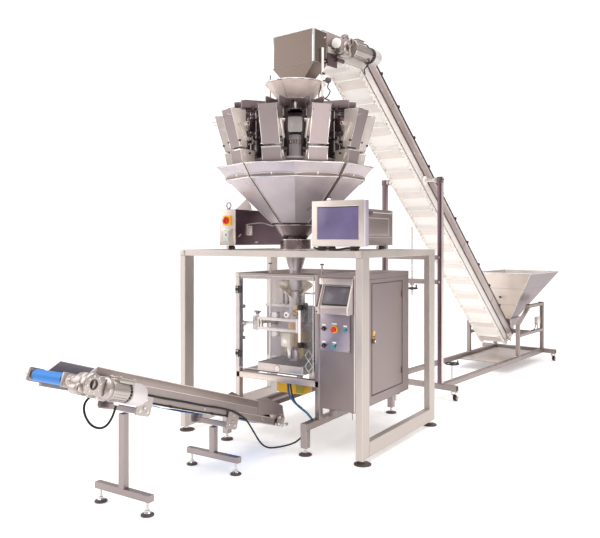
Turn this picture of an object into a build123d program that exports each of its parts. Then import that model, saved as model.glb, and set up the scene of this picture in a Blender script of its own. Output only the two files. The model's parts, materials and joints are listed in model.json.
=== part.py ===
from build123d import *
import math
import os

os.makedirs("parts", exist_ok=True)

# ---------------------------------------------------------------- driving dimensions (mm)
TUBE_X, TUBE_Y = -84.7, -1556.8       # forming tube axis, from the middle of the line's footprint
SEAM = 0.2                           # left on every face of a plain member, as a weld or paint gap
RUNNING = 0.05                       # radial clearance of a shaft in its bore
SHEET = 3.0                          # stainless sheet of the chutes, funnels and covers
PANEL = 2.5                          # dimpled sheet of the hoppers

PLATFORM_HALF, PLATFORM_TOP = 940.0, 1665.0
PLATFORM_FRONT, PLATFORM_BACK = -500.0, 990.0
POST_WIDE, POST_DEEP = 60.0, 125.0

FRAME_HALF, FRAME_TUBE, FRAME_TOP = 445.0, 50.0, 1460.0
FRAME_FRONT, FRAME_BACK = -310.0, 756.0
BASE_X, BASE_FRONT, BASE_BACK = 407.0, -477.0, 1152.0

CABINET_X = (445.0, 772.0)
CABINET_Z = (355.0, 1465.0)
CABINET_DOOR_Y = (0.0, 610.0)
CABINET_DOOR_Z = (440.0, 1380.0)
PANEL_Y = -318.0                     # outer face of the button plate
BUTTON_ROWS = {"upper": 1020.0, "lower": 880.0}

TUBE_RADIUS = 56.0
JAW_TRAVEL = 43.0
JAW_Z = (560.0, 606.0)

HEADS = 10
WEIGHER_TURN = -3.5                  # the weigher's turn about the tube axis, from a head on the x axis
WEIGHER_BOX_X = (440.0, 620.0)
WEIGHER_BOX_Y = (-320.0, 730.0)
WEIGHER_BOX_Z = (1705.0, 2030.0)

INFEED_TURN = 6.0                    # the infeed line's turn in plan from the machine's depth axis
INFEED_SIDE = 45.0                   # its centre line's offset from the tube, to the right
SLOPE = 40.6
BEND_U, BEND_Z = 1115.0, 3449.0      # a point on the top edge of the sloping channel
CHANNEL_FAR, CHANNEL_NEAR = -250.0, 150.0
CHANNEL_DEEP, SKIRT_DEEP = 134.0, 225.0
DRUM_RADIUS, BELT = 79.5, 5.0
BELT_MIDDLE = 145.0                  # depth of the belt loop's centre line below the channel's top edge
HEAD_U, HEAD_Z = 370.0, 3510.0
TAIL_RUN = 4500.0                    # from the bend point down the slope to the tail drum
BASE_RAIL, BASE_Z = 355.0, (112.0, 170.0)
CASTER_X, CASTER_U = 520.0, (2040.0, 5230.0)
WHEEL_RADIUS, WHEEL_TRAIL = 37.5, 32.0

TAKEOFF_ANGLE = 17.92
TAKEOFF_Y, TAKEOFF_Z = -2618.0, 950.0
TAKEOFF_LENGTH, TAKEOFF_DRUM, TAKEOFF_BELT = 2226.0, 33.0, 3.0
LEG_Y = (-1149.0, -2055.0)
CABLE_RADIUS = 7.0
CABLE_END = (364.0, -440.0, 215.0)   # mouth of the gland on the machine's base rail

LINE = Plane(origin=(TUBE_X, TUBE_Y, 0))
turn = math.radians(INFEED_TURN)
across = Vector(math.cos(turn), -math.sin(turn), 0)
INFEED = Plane(origin=LINE.origin + across * INFEED_SIDE, x_dir=across, z_dir=(0, 0, 1))
takeoff_rise = math.radians(TAKEOFF_ANGLE)
TAKEOFF = Plane(
    origin=LINE.origin + Vector(0, TAKEOFF_Y, TAKEOFF_Z),
    x_dir=(1, 0, 0),
    z_dir=(0, math.sin(takeoff_rise), math.cos(takeoff_rise)),
)
slope = math.radians(SLOPE)


# ---------------------------------------------------------------- helpers
def placed(base, x, y, z):
    """A plane like the base plane, moved to a point given along the base plane's own axes."""
    return Plane(origin=base.from_local_coords(Vector(x, y, z)), x_dir=base.x_dir, z_dir=base.z_dir)


def bar(x, y, z, base=LINE, mode=Mode.ADD):
    """A square-edged block between three pairs of limits."""
    seam = SEAM if mode == Mode.ADD else 0
    middle = [(low + high) / 2 for low, high in (x, y, z)]
    length, width, height = [high - low - 2 * seam for low, high in (x, y, z)]
    with Locations(placed(base, *middle)):
        Box(length, width, height, mode=mode)


def tube(x, y, z, base=LINE, corner=5.0):
    """A rolled rectangular tube along the longest of its three pairs of limits."""
    spans = [high - low - 2 * SEAM for low, high in (x, y, z)]
    run = spans.index(max(spans))
    directions = (base.x_dir, base.y_dir, base.z_dir)
    start = [(low + high) / 2 for low, high in (x, y, z)]
    start[run] = (x, y, z)[run][0] + SEAM
    wide, tall = (run + 1) % 3, (run + 2) % 3
    plane = Plane(
        origin=base.from_local_coords(Vector(*start)), x_dir=directions[wide], z_dir=directions[run]
    )
    with BuildSketch(plane) as section:
        RectangleRounded(spans[wide], spans[tall], corner)
    extrude(section.sketch, amount=spans[run])


def rod(start, end, radius, base=LINE, mode=Mode.ADD):
    """A round bar from one point to another."""
    first = base.from_local_coords(Vector(*start))
    last = base.from_local_coords(Vector(*end))
    with BuildSketch(Plane(origin=first, z_dir=last - first)) as section:
        Circle(radius)
    extrude(section.sketch, amount=(last - first).length, mode=mode)


def slab(points, base, x, mode=Mode.ADD):
    """A plate whose outline stands in the base plane's depth and height, between two widths."""
    side = Plane(
        origin=base.from_local_coords(Vector(x[0], 0, 0)), x_dir=base.y_dir, z_dir=base.x_dir
    )
    with BuildSketch(side) as outline:
        with BuildLine():
            Polyline(*points, close=True)
        make_face()
    extrude(outline.sketch, amount=x[1] - x[0], mode=mode)


def spun(points, centre=LINE, mode=Mode.ADD):
    """A body turned about the vertical through a plane's origin, from (radius, height) points."""
    radial = Plane(origin=centre.origin, x_dir=centre.x_dir, z_dir=centre.y_dir * -1)
    with BuildSketch(radial) as outline:
        with BuildLine():
            Polyline(*points, close=True)
        make_face()
    revolve(outline.sketch, axis=Axis(centre.origin, (0, 0, 1)), mode=mode)


def funnel(points, wall=SHEET, centre=LINE):
    """A thin turned shell, given by the (radius, height) points of its outside."""
    inside = [(radius - wall, height) for radius, height in reversed(points)]
    spun(list(points) + inside, centre)


def mirrored(low, high):
    """The same pair of limits on the right and on the left of the middle."""
    return (low, high), (-high, -low)


def sheet_box(x, y, z, sheet, opening=None):
    """A cabinet of separate flat sheets, whose right side may leave an opening (depths, heights)."""
    inner_y, inner_z = (y[0] + sheet, y[1] - sheet), (z[0] + sheet, z[1] - sheet)
    for height in ((z[0], inner_z[0]), (inner_z[1], z[1])):
        bar(x, y, height)
    for depth in ((y[0], inner_y[0]), (inner_y[1], y[1])):
        bar(x, depth, inner_z)
    bar((x[0], x[0] + sheet), inner_y, inner_z)
    right = (x[1] - sheet, x[1])
    if opening is None:
        bar(right, inner_y, inner_z)
        return
    for height in ((inner_z[0], opening[1][0]), (opening[1][1], inner_z[1])):
        bar(right, inner_y, height)
    for depth in ((inner_y[0], opening[0][0]), (opening[0][1], inner_y[1])):
        bar(right, depth, opening[1])


def levelling_foot(x, y, top, radius):
    """A round pad and its threaded stem."""
    spun([(0, 0), (radius, 0), (radius, 8), (16, 26), (16, 34), (9, 34), (9, top), (0, top)],
         placed(LINE, x, y, 0))


def head_plane(index):
    """A plane on the tube axis whose x runs out to one weighing head."""
    angle = math.radians(WEIGHER_TURN + index * 360 / HEADS)
    return Plane(origin=LINE.origin, x_dir=(math.cos(angle), math.sin(angle), 0), z_dir=(0, 0, 1))


def radial_slab(points, base, sides):
    """A plate whose outline stands in a head's (radius, height), between two sideways limits."""
    side = Plane(
        origin=base.from_local_coords(Vector(0, sides[1], 0)), x_dir=base.x_dir, z_dir=base.y_dir * -1
    )
    with BuildSketch(side) as outline:
        with BuildLine():
            Polyline(*points, close=True)
        make_face()
    extrude(outline.sketch, amount=sides[1] - sides[0])


def strip(start, end, inward):
    """A thin four-cornered section along one line, as thick as the inward step."""
    return [start, end, (end[0] + inward[0], end[1] + inward[1]), (start[0] + inward[0], start[1] + inward[1])]


def hopper(outline, base, half):
    """A hopper of five flat panels with a shut gate, open at the top."""
    low_in, low_out, top_out, top_in = outline
    inside = (SEAM + PANEL - half, half - PANEL - SEAM)
    for side in mirrored(half - PANEL, half):
        radial_slab(outline, base, side)
    radial_slab(strip(low_out, top_out, (-PANEL, 0)), base, inside)
    radial_slab(strip(low_in, top_in, (PANEL, 0)), base, inside)
    gate_in = (low_in[0] + 2 * PANEL, low_in[1] + 1)
    gate_out = (low_out[0] - 2 * PANEL, low_out[1] + 1)
    radial_slab(strip(gate_in, gate_out, (0, PANEL)), base, inside)


def on_slope(run, depth):
    """The infeed's (depth, height) at a distance down the slope and a depth under its top edge."""
    u = BEND_U + run * math.cos(slope) - depth * math.sin(slope)
    return u, BEND_Z - run * math.sin(slope) - depth * math.cos(slope)


def slope_meets(height, depth):
    """Where the sloping line at a depth under the top edge reaches a height."""
    u, z = on_slope(0, depth)
    return u - (height - z) / math.tan(slope), height


def save(piece, label):
    """Names a finished sub-part and writes it."""
    piece.part.label = label
    export_step(piece.part, f"parts/{label}.step")


# ---------------------------------------------------------------- platform
beam_z = (PLATFORM_TOP - 55, PLATFORM_TOP)
with BuildPart() as platform_frame:
    for side in mirrored(PLATFORM_HALF - POST_WIDE, PLATFORM_HALF):
        tube(side, (PLATFORM_FRONT, PLATFORM_FRONT + POST_DEEP), (45, beam_z[0]))
        tube(side, (PLATFORM_BACK - POST_DEEP, PLATFORM_BACK), (45, beam_z[0]))
        tube(side, (PLATFORM_FRONT + POST_DEEP, PLATFORM_BACK - POST_DEEP), (45, 165))
        tube(side, (PLATFORM_FRONT + 60, PLATFORM_BACK - 60), beam_z)
    for depth in ((PLATFORM_FRONT, PLATFORM_FRONT + 60), (PLATFORM_BACK - 60, PLATFORM_BACK)):
        tube((-PLATFORM_HALF, PLATFORM_HALF), depth, beam_z)
    for side in mirrored(500, 560):
        tube(side, (PLATFORM_FRONT + 60, PLATFORM_BACK - 60), beam_z)
save(platform_frame, "platform_frame")

with BuildPart() as levelling_feet:
    for side in (-1, 1):
        for depth in (PLATFORM_FRONT + 62, PLATFORM_BACK - 62):
            levelling_foot(side * 910, depth, 45 - SEAM, 67)
        for depth in (BASE_FRONT, BASE_BACK):
            levelling_foot(side * BASE_X, depth, 60 - SEAM, 52)
        for depth in LEG_Y:
            levelling_foot(side * 216, depth, 90 - SEAM, 40)
save(levelling_feet, "levelling_feet")

# ---------------------------------------------------------------- bagging machine
upright = (FRAME_HALF - FRAME_TUBE, FRAME_HALF)
base_rail = (BASE_X - 30, BASE_X + 30)
top_z = (FRAME_TOP - FRAME_TUBE, FRAME_TOP)
shelf_z = (520, 576)
with BuildPart() as machine_frame:
    for side in mirrored(*base_rail):
        tube(side, (BASE_FRONT - 30, BASE_BACK + 30), (200, 260))
        for depth in (BASE_FRONT, BASE_BACK):
            tube(side, (depth - 30, depth + 30), (60, 200))
    for side in mirrored(*upright):
        tube(side, (FRAME_FRONT, FRAME_FRONT + FRAME_TUBE), (260, FRAME_TOP))
        tube(side, (FRAME_BACK - 56, FRAME_BACK - 6), (260, FRAME_TOP))
        tube(side, (FRAME_FRONT + FRAME_TUBE, FRAME_BACK - 56), top_z)
        tube(side, (FRAME_FRONT + FRAME_TUBE, FRAME_BACK - 56), shelf_z)
    for depth in ((FRAME_FRONT, FRAME_FRONT + FRAME_TUBE), (FRAME_BACK - 56, FRAME_BACK - 6)):
        tube((-upright[0], upright[0]), depth, shelf_z)
        tube((-upright[0], upright[0]), depth, top_z)
    tube((-upright[0], upright[0]), (100, 150), (FRAME_TOP - 50, FRAME_TOP - 10))
    tube((-base_rail[0], base_rail[0]), (BASE_BACK - 30, BASE_BACK + 30), (200, 260))
    bar((-upright[0], -60), (250, 256), (600, 1400))
    bar((60, upright[0]), (250, 256), (600, 1400))
    bar((base_rail[0] - 26, base_rail[0]), (-456, -424), (CABLE_END[2], CABLE_END[2] + 30))
save(machine_frame, "machine_frame")

door_y = (FRAME_FRONT - 12, FRAME_FRONT - 4)
with BuildPart() as front_door:
    bar((-FRAME_HALF + 6, 386), door_y, (612, 1440))
save(front_door, "front_door")

handle_y = (door_y[0] - 38, door_y[0])
with BuildPart() as door_handle:
    rod((270, handle_y[0] + 8, 860), (270, handle_y[0] + 8, 1180), 8)
    for height in (870, 1170):
        rod((270, handle_y[0] + 8, height), (270, handle_y[1] - SEAM, height), 7)
save(door_handle, "door_handle")

wall = 4.0
with BuildPart() as electrical_cabinet:
    sheet_box(CABINET_X, (FRAME_FRONT, FRAME_BACK), CABINET_Z, wall, (CABINET_DOOR_Y, CABINET_DOOR_Z))
    bar((CABINET_X[0] + wall, CABINET_X[0] + 12), (60, 560), (480, 1340))
    for height in (640, 860, 1080):
        bar((CABINET_X[0] + 12, CABINET_X[0] + 120), (110, 510), (height, height + 110))
    for depth in (FRAME_FRONT + 120, FRAME_BACK - 120):
        rod((CABINET_X[0] + 60, depth, CABINET_Z[0] - 30), (CABINET_X[0] + 60, depth, CABINET_Z[0]), 14)
    for height in BUTTON_ROWS.values():
        for x in (490, 590, 692):
            rod((x, FRAME_FRONT - 2, height), (x, FRAME_FRONT + 6, height), 9, mode=Mode.SUBTRACT)
save(electrical_cabinet, "electrical_cabinet")

with BuildPart() as cabinet_door:
    bar((CABINET_X[1] - wall, CABINET_X[1]), (CABINET_DOOR_Y[0] + 2, CABINET_DOOR_Y[1] - 2),
        (CABINET_DOOR_Z[0] + 2, CABINET_DOOR_Z[1] - 2))
    rod((CABINET_X[1], 40, 905), (CABINET_X[1] + 16, 40, 905), 14)
save(cabinet_door, "cabinet_door")

console_x = (456, 762)
hood = [(FRAME_FRONT - 1, 1436), (FRAME_FRONT - 12, 1436), (FRAME_FRONT - 12, 1384),
        (FRAME_FRONT - 92, 1200), (FRAME_FRONT - 92, 1150), (FRAME_FRONT - 1, 1150)]
hollow = [(FRAME_FRONT, 1378), (FRAME_FRONT - 14, 1378), (FRAME_FRONT - 88, 1198),
          (FRAME_FRONT - 88, 1154), (FRAME_FRONT, 1154)]
with BuildPart() as control_console:
    slab(hood, LINE, console_x)
    slab(hollow, LINE, (console_x[0] + 4, console_x[1] - 4), mode=Mode.SUBTRACT)
    bar((456, 734), (PANEL_Y, FRAME_FRONT), (840, 1148))
    for height in BUTTON_ROWS.values():
        for x in (490, 590, 692):
            rod((x, PANEL_Y - 5, height), (x, FRAME_FRONT + 5, height), 5 + RUNNING, mode=Mode.SUBTRACT)
save(control_console, "control_console")


def push_button(x, height, cap_radius, reach):
    """A cap in front of the button plate, on a stem that runs through it."""
    rod((x, PANEL_Y - reach, height), (x, PANEL_Y - 8, height), cap_radius)
    rod((x, PANEL_Y - 8, height), (x, FRAME_FRONT + 14, height), 5)


with BuildPart() as estop_button:
    push_button(590, BUTTON_ROWS["upper"], 20, 34)
save(estop_button, "estop_button")

with BuildPart() as start_button:
    push_button(692, BUTTON_ROWS["upper"], 14, 20)
save(start_button, "start_button")

with BuildPart() as reset_button:
    push_button(590, BUTTON_ROWS["lower"], 14, 20)
save(reset_button, "reset_button")

for label, row in (("mode_selector", "upper"), ("power_selector", "lower")):
    with BuildPart() as selector:
        push_button(490, BUTTON_ROWS[row], 15, 16)
        bar((486, 494), (PANEL_Y - 34, PANEL_Y - 16 + 2 * SEAM), (BUTTON_ROWS[row] - 15, BUTTON_ROWS[row] + 15))
    save(selector, label)

# ---------------------------------------------------------------- forming and sealing
with BuildPart() as forming_tube:
    funnel([(108, PLATFORM_TOP - 10), (60, 1493), (TUBE_RADIUS, 1478), (TUBE_RADIUS, 622)], wall=2.0)
save(forming_tube, "forming_tube")

with BuildPart() as forming_collar:
    funnel([(175, 1408), (66, 1290), (60, 1278)])
    bar((-170, 170), (60, 92), (1262, 1274))
    for side in mirrored(150, 170):
        bar(side, (92, 248), (1262, 1274))
save(forming_collar, "forming_collar")

guard_z = (592, 662)
with BuildPart() as jaw_guard:
    bar((-240, 240), (-250, 240), guard_z)
    bar((-237, 237), (-247, 237), (guard_z[0] - 5, guard_z[1] - SHEET), mode=Mode.SUBTRACT)
    bar((-120, 120), (-120, 120), (guard_z[0], guard_z[1] + 5), mode=Mode.SUBTRACT)
save(jaw_guard, "jaw_guard")

with BuildPart() as sealing_frame:
    for height in (955, 1045):
        bar((-262, 212), (-262, -236), (height, height + 26))
    for side in ((-262, -222), (172, 212)):
        bar(side, (-262, -236), (981, 1045))
        bar(side, (-236, 250), (1000, 1026))
    for side in (-280, 280):
        rod((side, 0, 610), (side, 0, FRAME_TOP + 70), 9)
        bar((side - 26, side + 26), (-26, 26), (585, 610))
    rod((-262, -248, 1013), (-upright[0], -248, 1013), 9)
    rod((-242, -249, 1071 + SEAM), (-242, -249, 1110), 6)
save(sealing_frame, "sealing_frame")

with BuildPart() as film_pull_units:
    for side in mirrored(64, 104):
        bar(side, (-32, 32), (715, 925))
        bar(side, (32, 250), (790, 850))
save(film_pull_units, "film_pull_units")

with BuildPart() as vertical_seal_bar:
    bar((-12, 12), (-84, -62), (690, 940))
    bar((-26, 26), (-112, -84), (780, 900))
save(vertical_seal_bar, "vertical_seal_bar")

for label, depth in (("front_jaw", (-74, -46)), ("rear_jaw", (46, 74))):
    with BuildPart() as jaw:
        bar((-115, 115), depth, JAW_Z)
    save(jaw, label)

# ---------------------------------------------------------------- film unwind
roll_y, roll_z = 960.0, 500.0
dancer_y, dancer_z = 960.0, 800.0
with BuildPart() as film_stand:
    for side in mirrored(*base_rail):
        bar(side, (roll_y - 30, roll_y + 30), (260, 900))
    for centre, radius in ((roll_z, 15), (dancer_z, 8)):
        rod((-450, roll_y, centre), (450, roll_y, centre), radius + RUNNING, mode=Mode.SUBTRACT)
    for height in (700, 860):
        rod((-base_rail[0] + SEAM, roll_y, height), (base_rail[0] - SEAM, roll_y, height), 18)
save(film_stand, "film_stand")

with BuildPart() as film_roll:
    rod((-210, roll_y, roll_z), (210, roll_y, roll_z), 150)
    rod((-450, roll_y, roll_z), (450, roll_y, roll_z), 15)
save(film_roll, "film_roll")

with BuildPart() as dancer_arm:
    for side in (1, -1):
        rod((side * 340, dancer_y, dancer_z), (side * 430, dancer_y, dancer_z), 8)
        low, high = sorted((side * 340, side * 352))
        bar((low, high), (dancer_y - 130, dancer_y + 16), (dancer_z - 16, dancer_z + 16))
    rod((-352, dancer_y - 120, dancer_z), (352, dancer_y - 120, dancer_z), 14)
save(dancer_arm, "dancer_arm")

# ---------------------------------------------------------------- multihead weigher
gusset_edge = [(585, 2029), (388, 2029), (402, 2075), (447, 2130)]
with BuildPart() as weigher_base:
    for side in mirrored(*WEIGHER_BOX_X):
        sheet_box(side, WEIGHER_BOX_Y, WEIGHER_BOX_Z, SHEET)
        for depth in (WEIGHER_BOX_Y[0] + 60, WEIGHER_BOX_Y[1] - 60):
            middle = (side[0] + side[1]) / 2
            rod((middle, depth, PLATFORM_TOP + SEAM), (middle, depth, WEIGHER_BOX_Z[0]), 24)
    switch_plate = (-566, -494)
    bar(switch_plate, (WEIGHER_BOX_Y[0] - 6, WEIGHER_BOX_Y[0]), (1895, 1965))
    rod((-530, WEIGHER_BOX_Y[0] - 10, 1930), (-530, WEIGHER_BOX_Y[0] + 10, 1930), 5 + RUNNING,
        mode=Mode.SUBTRACT)
    bar((-570, -490), (WEIGHER_BOX_Y[0] - 30, WEIGHER_BOX_Y[0]), (1745, 1835))
    for side in (-1, 1):
        with BuildSketch(Plane(origin=LINE.origin + Vector(0, -140, 0), x_dir=(1, 0, 0), z_dir=(0, -1, 0))) as gusset:
            with BuildLine():
                Polyline(*[(side * x, z) for x, z in gusset_edge], close=True)
            make_face()
        extrude(gusset.sketch, amount=6)
save(weigher_base, "weigher_base")

with BuildPart() as main_switch:
    rod((-530, WEIGHER_BOX_Y[0] - 24, 1930), (-530, WEIGHER_BOX_Y[0] - 8, 1930), 24)
    bar((-536, -524), (WEIGHER_BOX_Y[0] - 40, WEIGHER_BOX_Y[0] - 24 + 2 * SEAM), (1908, 1952))
    rod((-530, WEIGHER_BOX_Y[0] - 8, 1930), (-530, WEIGHER_BOX_Y[0] + 12, 1930), 5)
save(main_switch, "main_switch")

with BuildPart() as weigher_display:
    bar((452, 940), (-450, -385), (1700, 2070))
    for side in (560, 832):
        bar((side - 25, side + 25), (-440, -395), (PLATFORM_TOP, 1700))
save(weigher_display, "weigher_display")

chute_top, chute_low = (634, 2280), (216, 1898)
ring_top, ring_low = (712, 2385), (634, 2290)
facet_turn = WEIGHER_TURN + 360 / HEADS / 2


def faceted(top, low, wall):
    """A ten-sided funnel of thin sheet between two (radius, height) rims."""
    for shrink, mode in ((0, Mode.ADD), (wall, Mode.SUBTRACT)):
        with BuildSketch(placed(LINE, 0, 0, low[1])) as lower:
            RegularPolygon(low[0] - shrink, HEADS, rotation=facet_turn)
        with BuildSketch(placed(LINE, 0, 0, top[1])) as upper:
            RegularPolygon(top[0] - shrink, HEADS, rotation=facet_turn)
        loft([lower.sketch, upper.sketch], mode=mode)


with BuildPart() as collecting_chute:
    faceted(chute_top, chute_low, SHEET)
    faceted(ring_top, ring_low, SHEET)
    for index in range(HEADS // 2):
        split_angle = math.radians(WEIGHER_TURN - 90 + 72 * index)
        cut_plane = Plane(
            origin=LINE.origin, x_dir=(math.cos(split_angle), math.sin(split_angle), 0), z_dir=(0, 0, 1)
        )
        bar((20, 760), (-5, 5), (1880, 2400), base=cut_plane, mode=Mode.SUBTRACT)
save(collecting_chute, "collecting_chute")

with BuildPart() as discharge_funnel:
    funnel([(218, 1892), (97, 1758)])
    funnel([(138, 1756), (138, PLATFORM_TOP + 1)])
save(discharge_funnel, "discharge_funnel")

with BuildPart() as weigher_column:
    spun([(40, 2440), (430, 2440), (430, 2462), (62, 2462), (62, 2704), (94, 2710), (94, 2858), (40, 2858)])
save(weigher_column, "weigher_column")

with BuildPart() as linear_feeders:
    spun([(0, 2990), (190, 2920), (190, 2905), (0, 2905)])
    for index in range(HEADS):
        head = head_plane(index)
        radial_slab([(200, 2905), (600, 2875), (600, 2878), (200, 2908)], head, (-55, 55))
        for side in mirrored(55 + SEAM, 58):
            radial_slab([(200, 2905), (600, 2875), (600, 2935), (200, 2965)], head, side)
save(linear_feeders, "linear_feeders")

feed_outline = [(560, 2540), (628, 2540), (718, 2857), (575, 2857)]
weigh_outline = [(490, 2400), (600, 2370), (628, 2520), (480, 2520)]
for label, outline, half in (("feed_hoppers", feed_outline, 81), ("weigh_hoppers", weigh_outline, 85)):
    with BuildPart() as hoppers:
        for index in range(HEADS):
            hopper(outline, head_plane(index), half)
    save(hoppers, label)

with BuildPart() as drive_units:
    for index in range(HEADS):
        head = head_plane(index)
        radial_slab([(310, 2464), (430, 2464), (430, 2864), (310, 2864)], head, (-52, 52))
        radial_slab([(431, 2560), (540, 2560), (540, 2700), (431, 2700)], head, (-34, 34))
save(drive_units, "drive_units")

with BuildPart() as inlet_funnel:
    funnel([(270, 3158), (155, 3012)])
    for side, top in ((-280, 3280), (285, 3450)):
        rod((side, 0, 2970), (side, 0, top), 8)
save(inlet_funnel, "inlet_funnel")

# ---------------------------------------------------------------- infeed conveyor
stand_y = (CASTER_U[0] - 25, CASTER_U[0] + 25)
screw_radius, wheel_height = 10.0, 1215.0
feeder_post_y = 4300.0
with BuildPart() as infeed_base:
    for depth in CASTER_U:
        tube((-CASTER_X - 35, CASTER_X + 35), (depth - 30, depth + 30), BASE_Z, base=INFEED)
    for side in mirrored(BASE_RAIL - 30, BASE_RAIL + 30):
        tube(side, (CASTER_U[0] + 30, CASTER_U[1] - 30), BASE_Z, base=INFEED)
        post = (side[0] + 5, side[1] - 5)
        tube(post, stand_y, (BASE_Z[1], 2440), base=INFEED)
        tube(post, (feeder_post_y - 25, feeder_post_y + 25), (BASE_Z[1], 600), base=INFEED)
        tube(post, (CASTER_U[1] - 25, CASTER_U[1] + 25), (BASE_Z[1], 800), base=INFEED)
        slab([(feeder_post_y - 25, 601), (feeder_post_y + 25, 601), (4700, 799), (4640, 799)], INFEED,
             (post[0] + SEAM, post[1] - SEAM))
        tube(post, (4640, CASTER_U[1] + 25), (800, 845), base=INFEED)
        tube(post, (feeder_post_y + 25, CASTER_U[1] - 25), (430, 470), base=INFEED)
    rails = BASE_RAIL - 25
    for height in (1265, 1535):
        bar((-rails, rails), stand_y, (height, height + 50), base=INFEED)
    rod((0, CASTER_U[0], 1250), (0, CASTER_U[0], 1600), screw_radius + RUNNING, base=INFEED, mode=Mode.SUBTRACT)
    for depth in (4660, 4840):
        bar((-rails, rails), (depth, depth + 40), (436, 464), base=INFEED)
    bar((-320, 320), (3900, 5150), (118, 130), base=INFEED)
save(infeed_base, "infeed_base")

with BuildPart() as stand_handwheel:
    rod((0, CASTER_U[0], 1130), (0, CASTER_U[0], 1910), screw_radius, base=INFEED)
    rod((0, CASTER_U[0], wheel_height - 10), (0, CASTER_U[0], wheel_height + 10), 60, base=INFEED)
save(stand_handwheel, "stand_handwheel")

with BuildPart() as stabiliser_handwheel:
    rod((BASE_RAIL, 2320, BASE_Z[1] + 1), (BASE_RAIL, 2320, 345), 9, base=INFEED)
    rod((BASE_RAIL, 2320, 345), (BASE_RAIL, 2320, 365), 80, base=INFEED)
save(stabiliser_handwheel, "stabiliser_handwheel")

head_rise = HEAD_Z + BELT_MIDDLE
steel = [on_slope(TAIL_RUN + 130, 0), slope_meets(head_rise, 0), (130, head_rise),
         (130, head_rise - CHANNEL_DEEP), slope_meets(head_rise - CHANNEL_DEEP, CHANNEL_DEEP),
         on_slope(TAIL_RUN + 130, CHANNEL_DEEP)]
skirt = [on_slope(TAIL_RUN + 60, CHANNEL_DEEP), slope_meets(head_rise - CHANNEL_DEEP, CHANNEL_DEEP),
         (240, head_rise - CHANNEL_DEEP), (240, head_rise - SKIRT_DEEP),
         slope_meets(head_rise - SKIRT_DEEP, SKIRT_DEEP), on_slope(TAIL_RUN + 60, SKIRT_DEEP)]
tail_u, tail_z = on_slope(TAIL_RUN, BELT_MIDDLE)
shaft_r = 15.0
def channel_sides(inner, outer):
    """The same plate or block on the far and near side frames, by distances out from the channel."""
    return (CHANNEL_FAR - outer, CHANNEL_FAR - inner), (CHANNEL_NEAR + inner, CHANNEL_NEAR + outer)


with BuildPart() as infeed_side_frames:
    for side in channel_sides(0, 4):
        slab(steel, INFEED, side)
    for side in channel_sides(-6, 0):
        slab(skirt, INFEED, side)
    for u, z in ((HEAD_U, HEAD_Z), (tail_u, tail_z)):
        for side in channel_sides(4, 34):
            bar(side, (u - 45, u + 45), (z - 45, z + 45), base=INFEED)
        rod((-300, u, z), (300, u, z), shaft_r + RUNNING, base=INFEED, mode=Mode.SUBTRACT)
    for near, far in ((CHANNEL_NEAR + 3, BASE_RAIL - 26), (CHANNEL_FAR - 3, 26 - BASE_RAIL)):
        rod((near, CASTER_U[0], 2420), (far, CASTER_U[0], 2420), 20, base=INFEED)
save(infeed_side_frames, "infeed_side_frames")


def belt_loop(radius, mode):
    """The infeed belt's outline: level over the head and sloping down to the tail."""
    bend = slope_meets(HEAD_Z, BELT_MIDDLE)
    for first, last in (((HEAD_U, HEAD_Z), bend), (bend, (tail_u, tail_z))):
        run = Vector(*last) - Vector(*first)
        angle = math.degrees(math.atan2(run.Y, run.X))
        with Locations(((first[0] + last[0]) / 2, (first[1] + last[1]) / 2)):
            SlotCenterToCenter(run.length, 2 * radius, rotation=angle, mode=mode)


belt_side = Plane(
    origin=INFEED.from_local_coords(Vector(CHANNEL_FAR + 20, 0, 0)), x_dir=INFEED.y_dir, z_dir=INFEED.x_dir
)
with BuildPart() as infeed_belt:
    with BuildSketch(belt_side):
        belt_loop(DRUM_RADIUS + 0.5 + BELT, Mode.ADD)
        belt_loop(DRUM_RADIUS + 0.5, Mode.SUBTRACT)
    extrude(amount=CHANNEL_NEAR - CHANNEL_FAR - 40)
save(infeed_belt, "infeed_belt")

for label, u, z, reach in (
    ("infeed_drive_drum", HEAD_U, HEAD_Z, 250),
    ("infeed_tail_drum", tail_u, tail_z, CHANNEL_NEAR + 40),
):
    with BuildPart() as drum:
        rod((CHANNEL_FAR + 22, u, z), (CHANNEL_NEAR - 22, u, z), DRUM_RADIUS, base=INFEED)
        rod((CHANNEL_FAR - 40, u, z), (reach, u, z), shaft_r, base=INFEED)
    save(drum, label)

with BuildPart() as infeed_gearmotor:
    bar((188, 292), (HEAD_U - 75, HEAD_U + 85), (HEAD_Z - 60, 3620), base=INFEED)
    rod((188, HEAD_U, HEAD_Z), (310, HEAD_U, HEAD_Z), shaft_r + RUNNING, base=INFEED,
        mode=Mode.SUBTRACT)
    rod((240, HEAD_U + 84, 3535), (240, HEAD_U + 540, 3535), 76, base=INFEED)
save(infeed_gearmotor, "infeed_gearmotor")

with BuildPart() as discharge_box:
    bar((-250, 220), (-75, 115), (3317, 3607), base=INFEED)
    bar((-247, 217), (-72, 112), (3300, 3620), base=INFEED, mode=Mode.SUBTRACT)
    bar((-230, 130), (100, 120), (3320, 3620), base=INFEED, mode=Mode.SUBTRACT)
    for shrink, mode in ((0, Mode.ADD), (SHEET, Mode.SUBTRACT)):
        with BuildSketch(placed(INFEED, -15, 20, 3317)) as mouth:
            Rectangle(470 - 2 * shrink, 190 - 2 * shrink)
        with BuildSketch(placed(INFEED, -15, 5, 3165)) as outlet:
            Rectangle(200 - 2 * shrink, 130 - 2 * shrink)
        loft([outlet.sketch, mouth.sketch], mode=mode)
save(discharge_box, "discharge_box")

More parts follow.
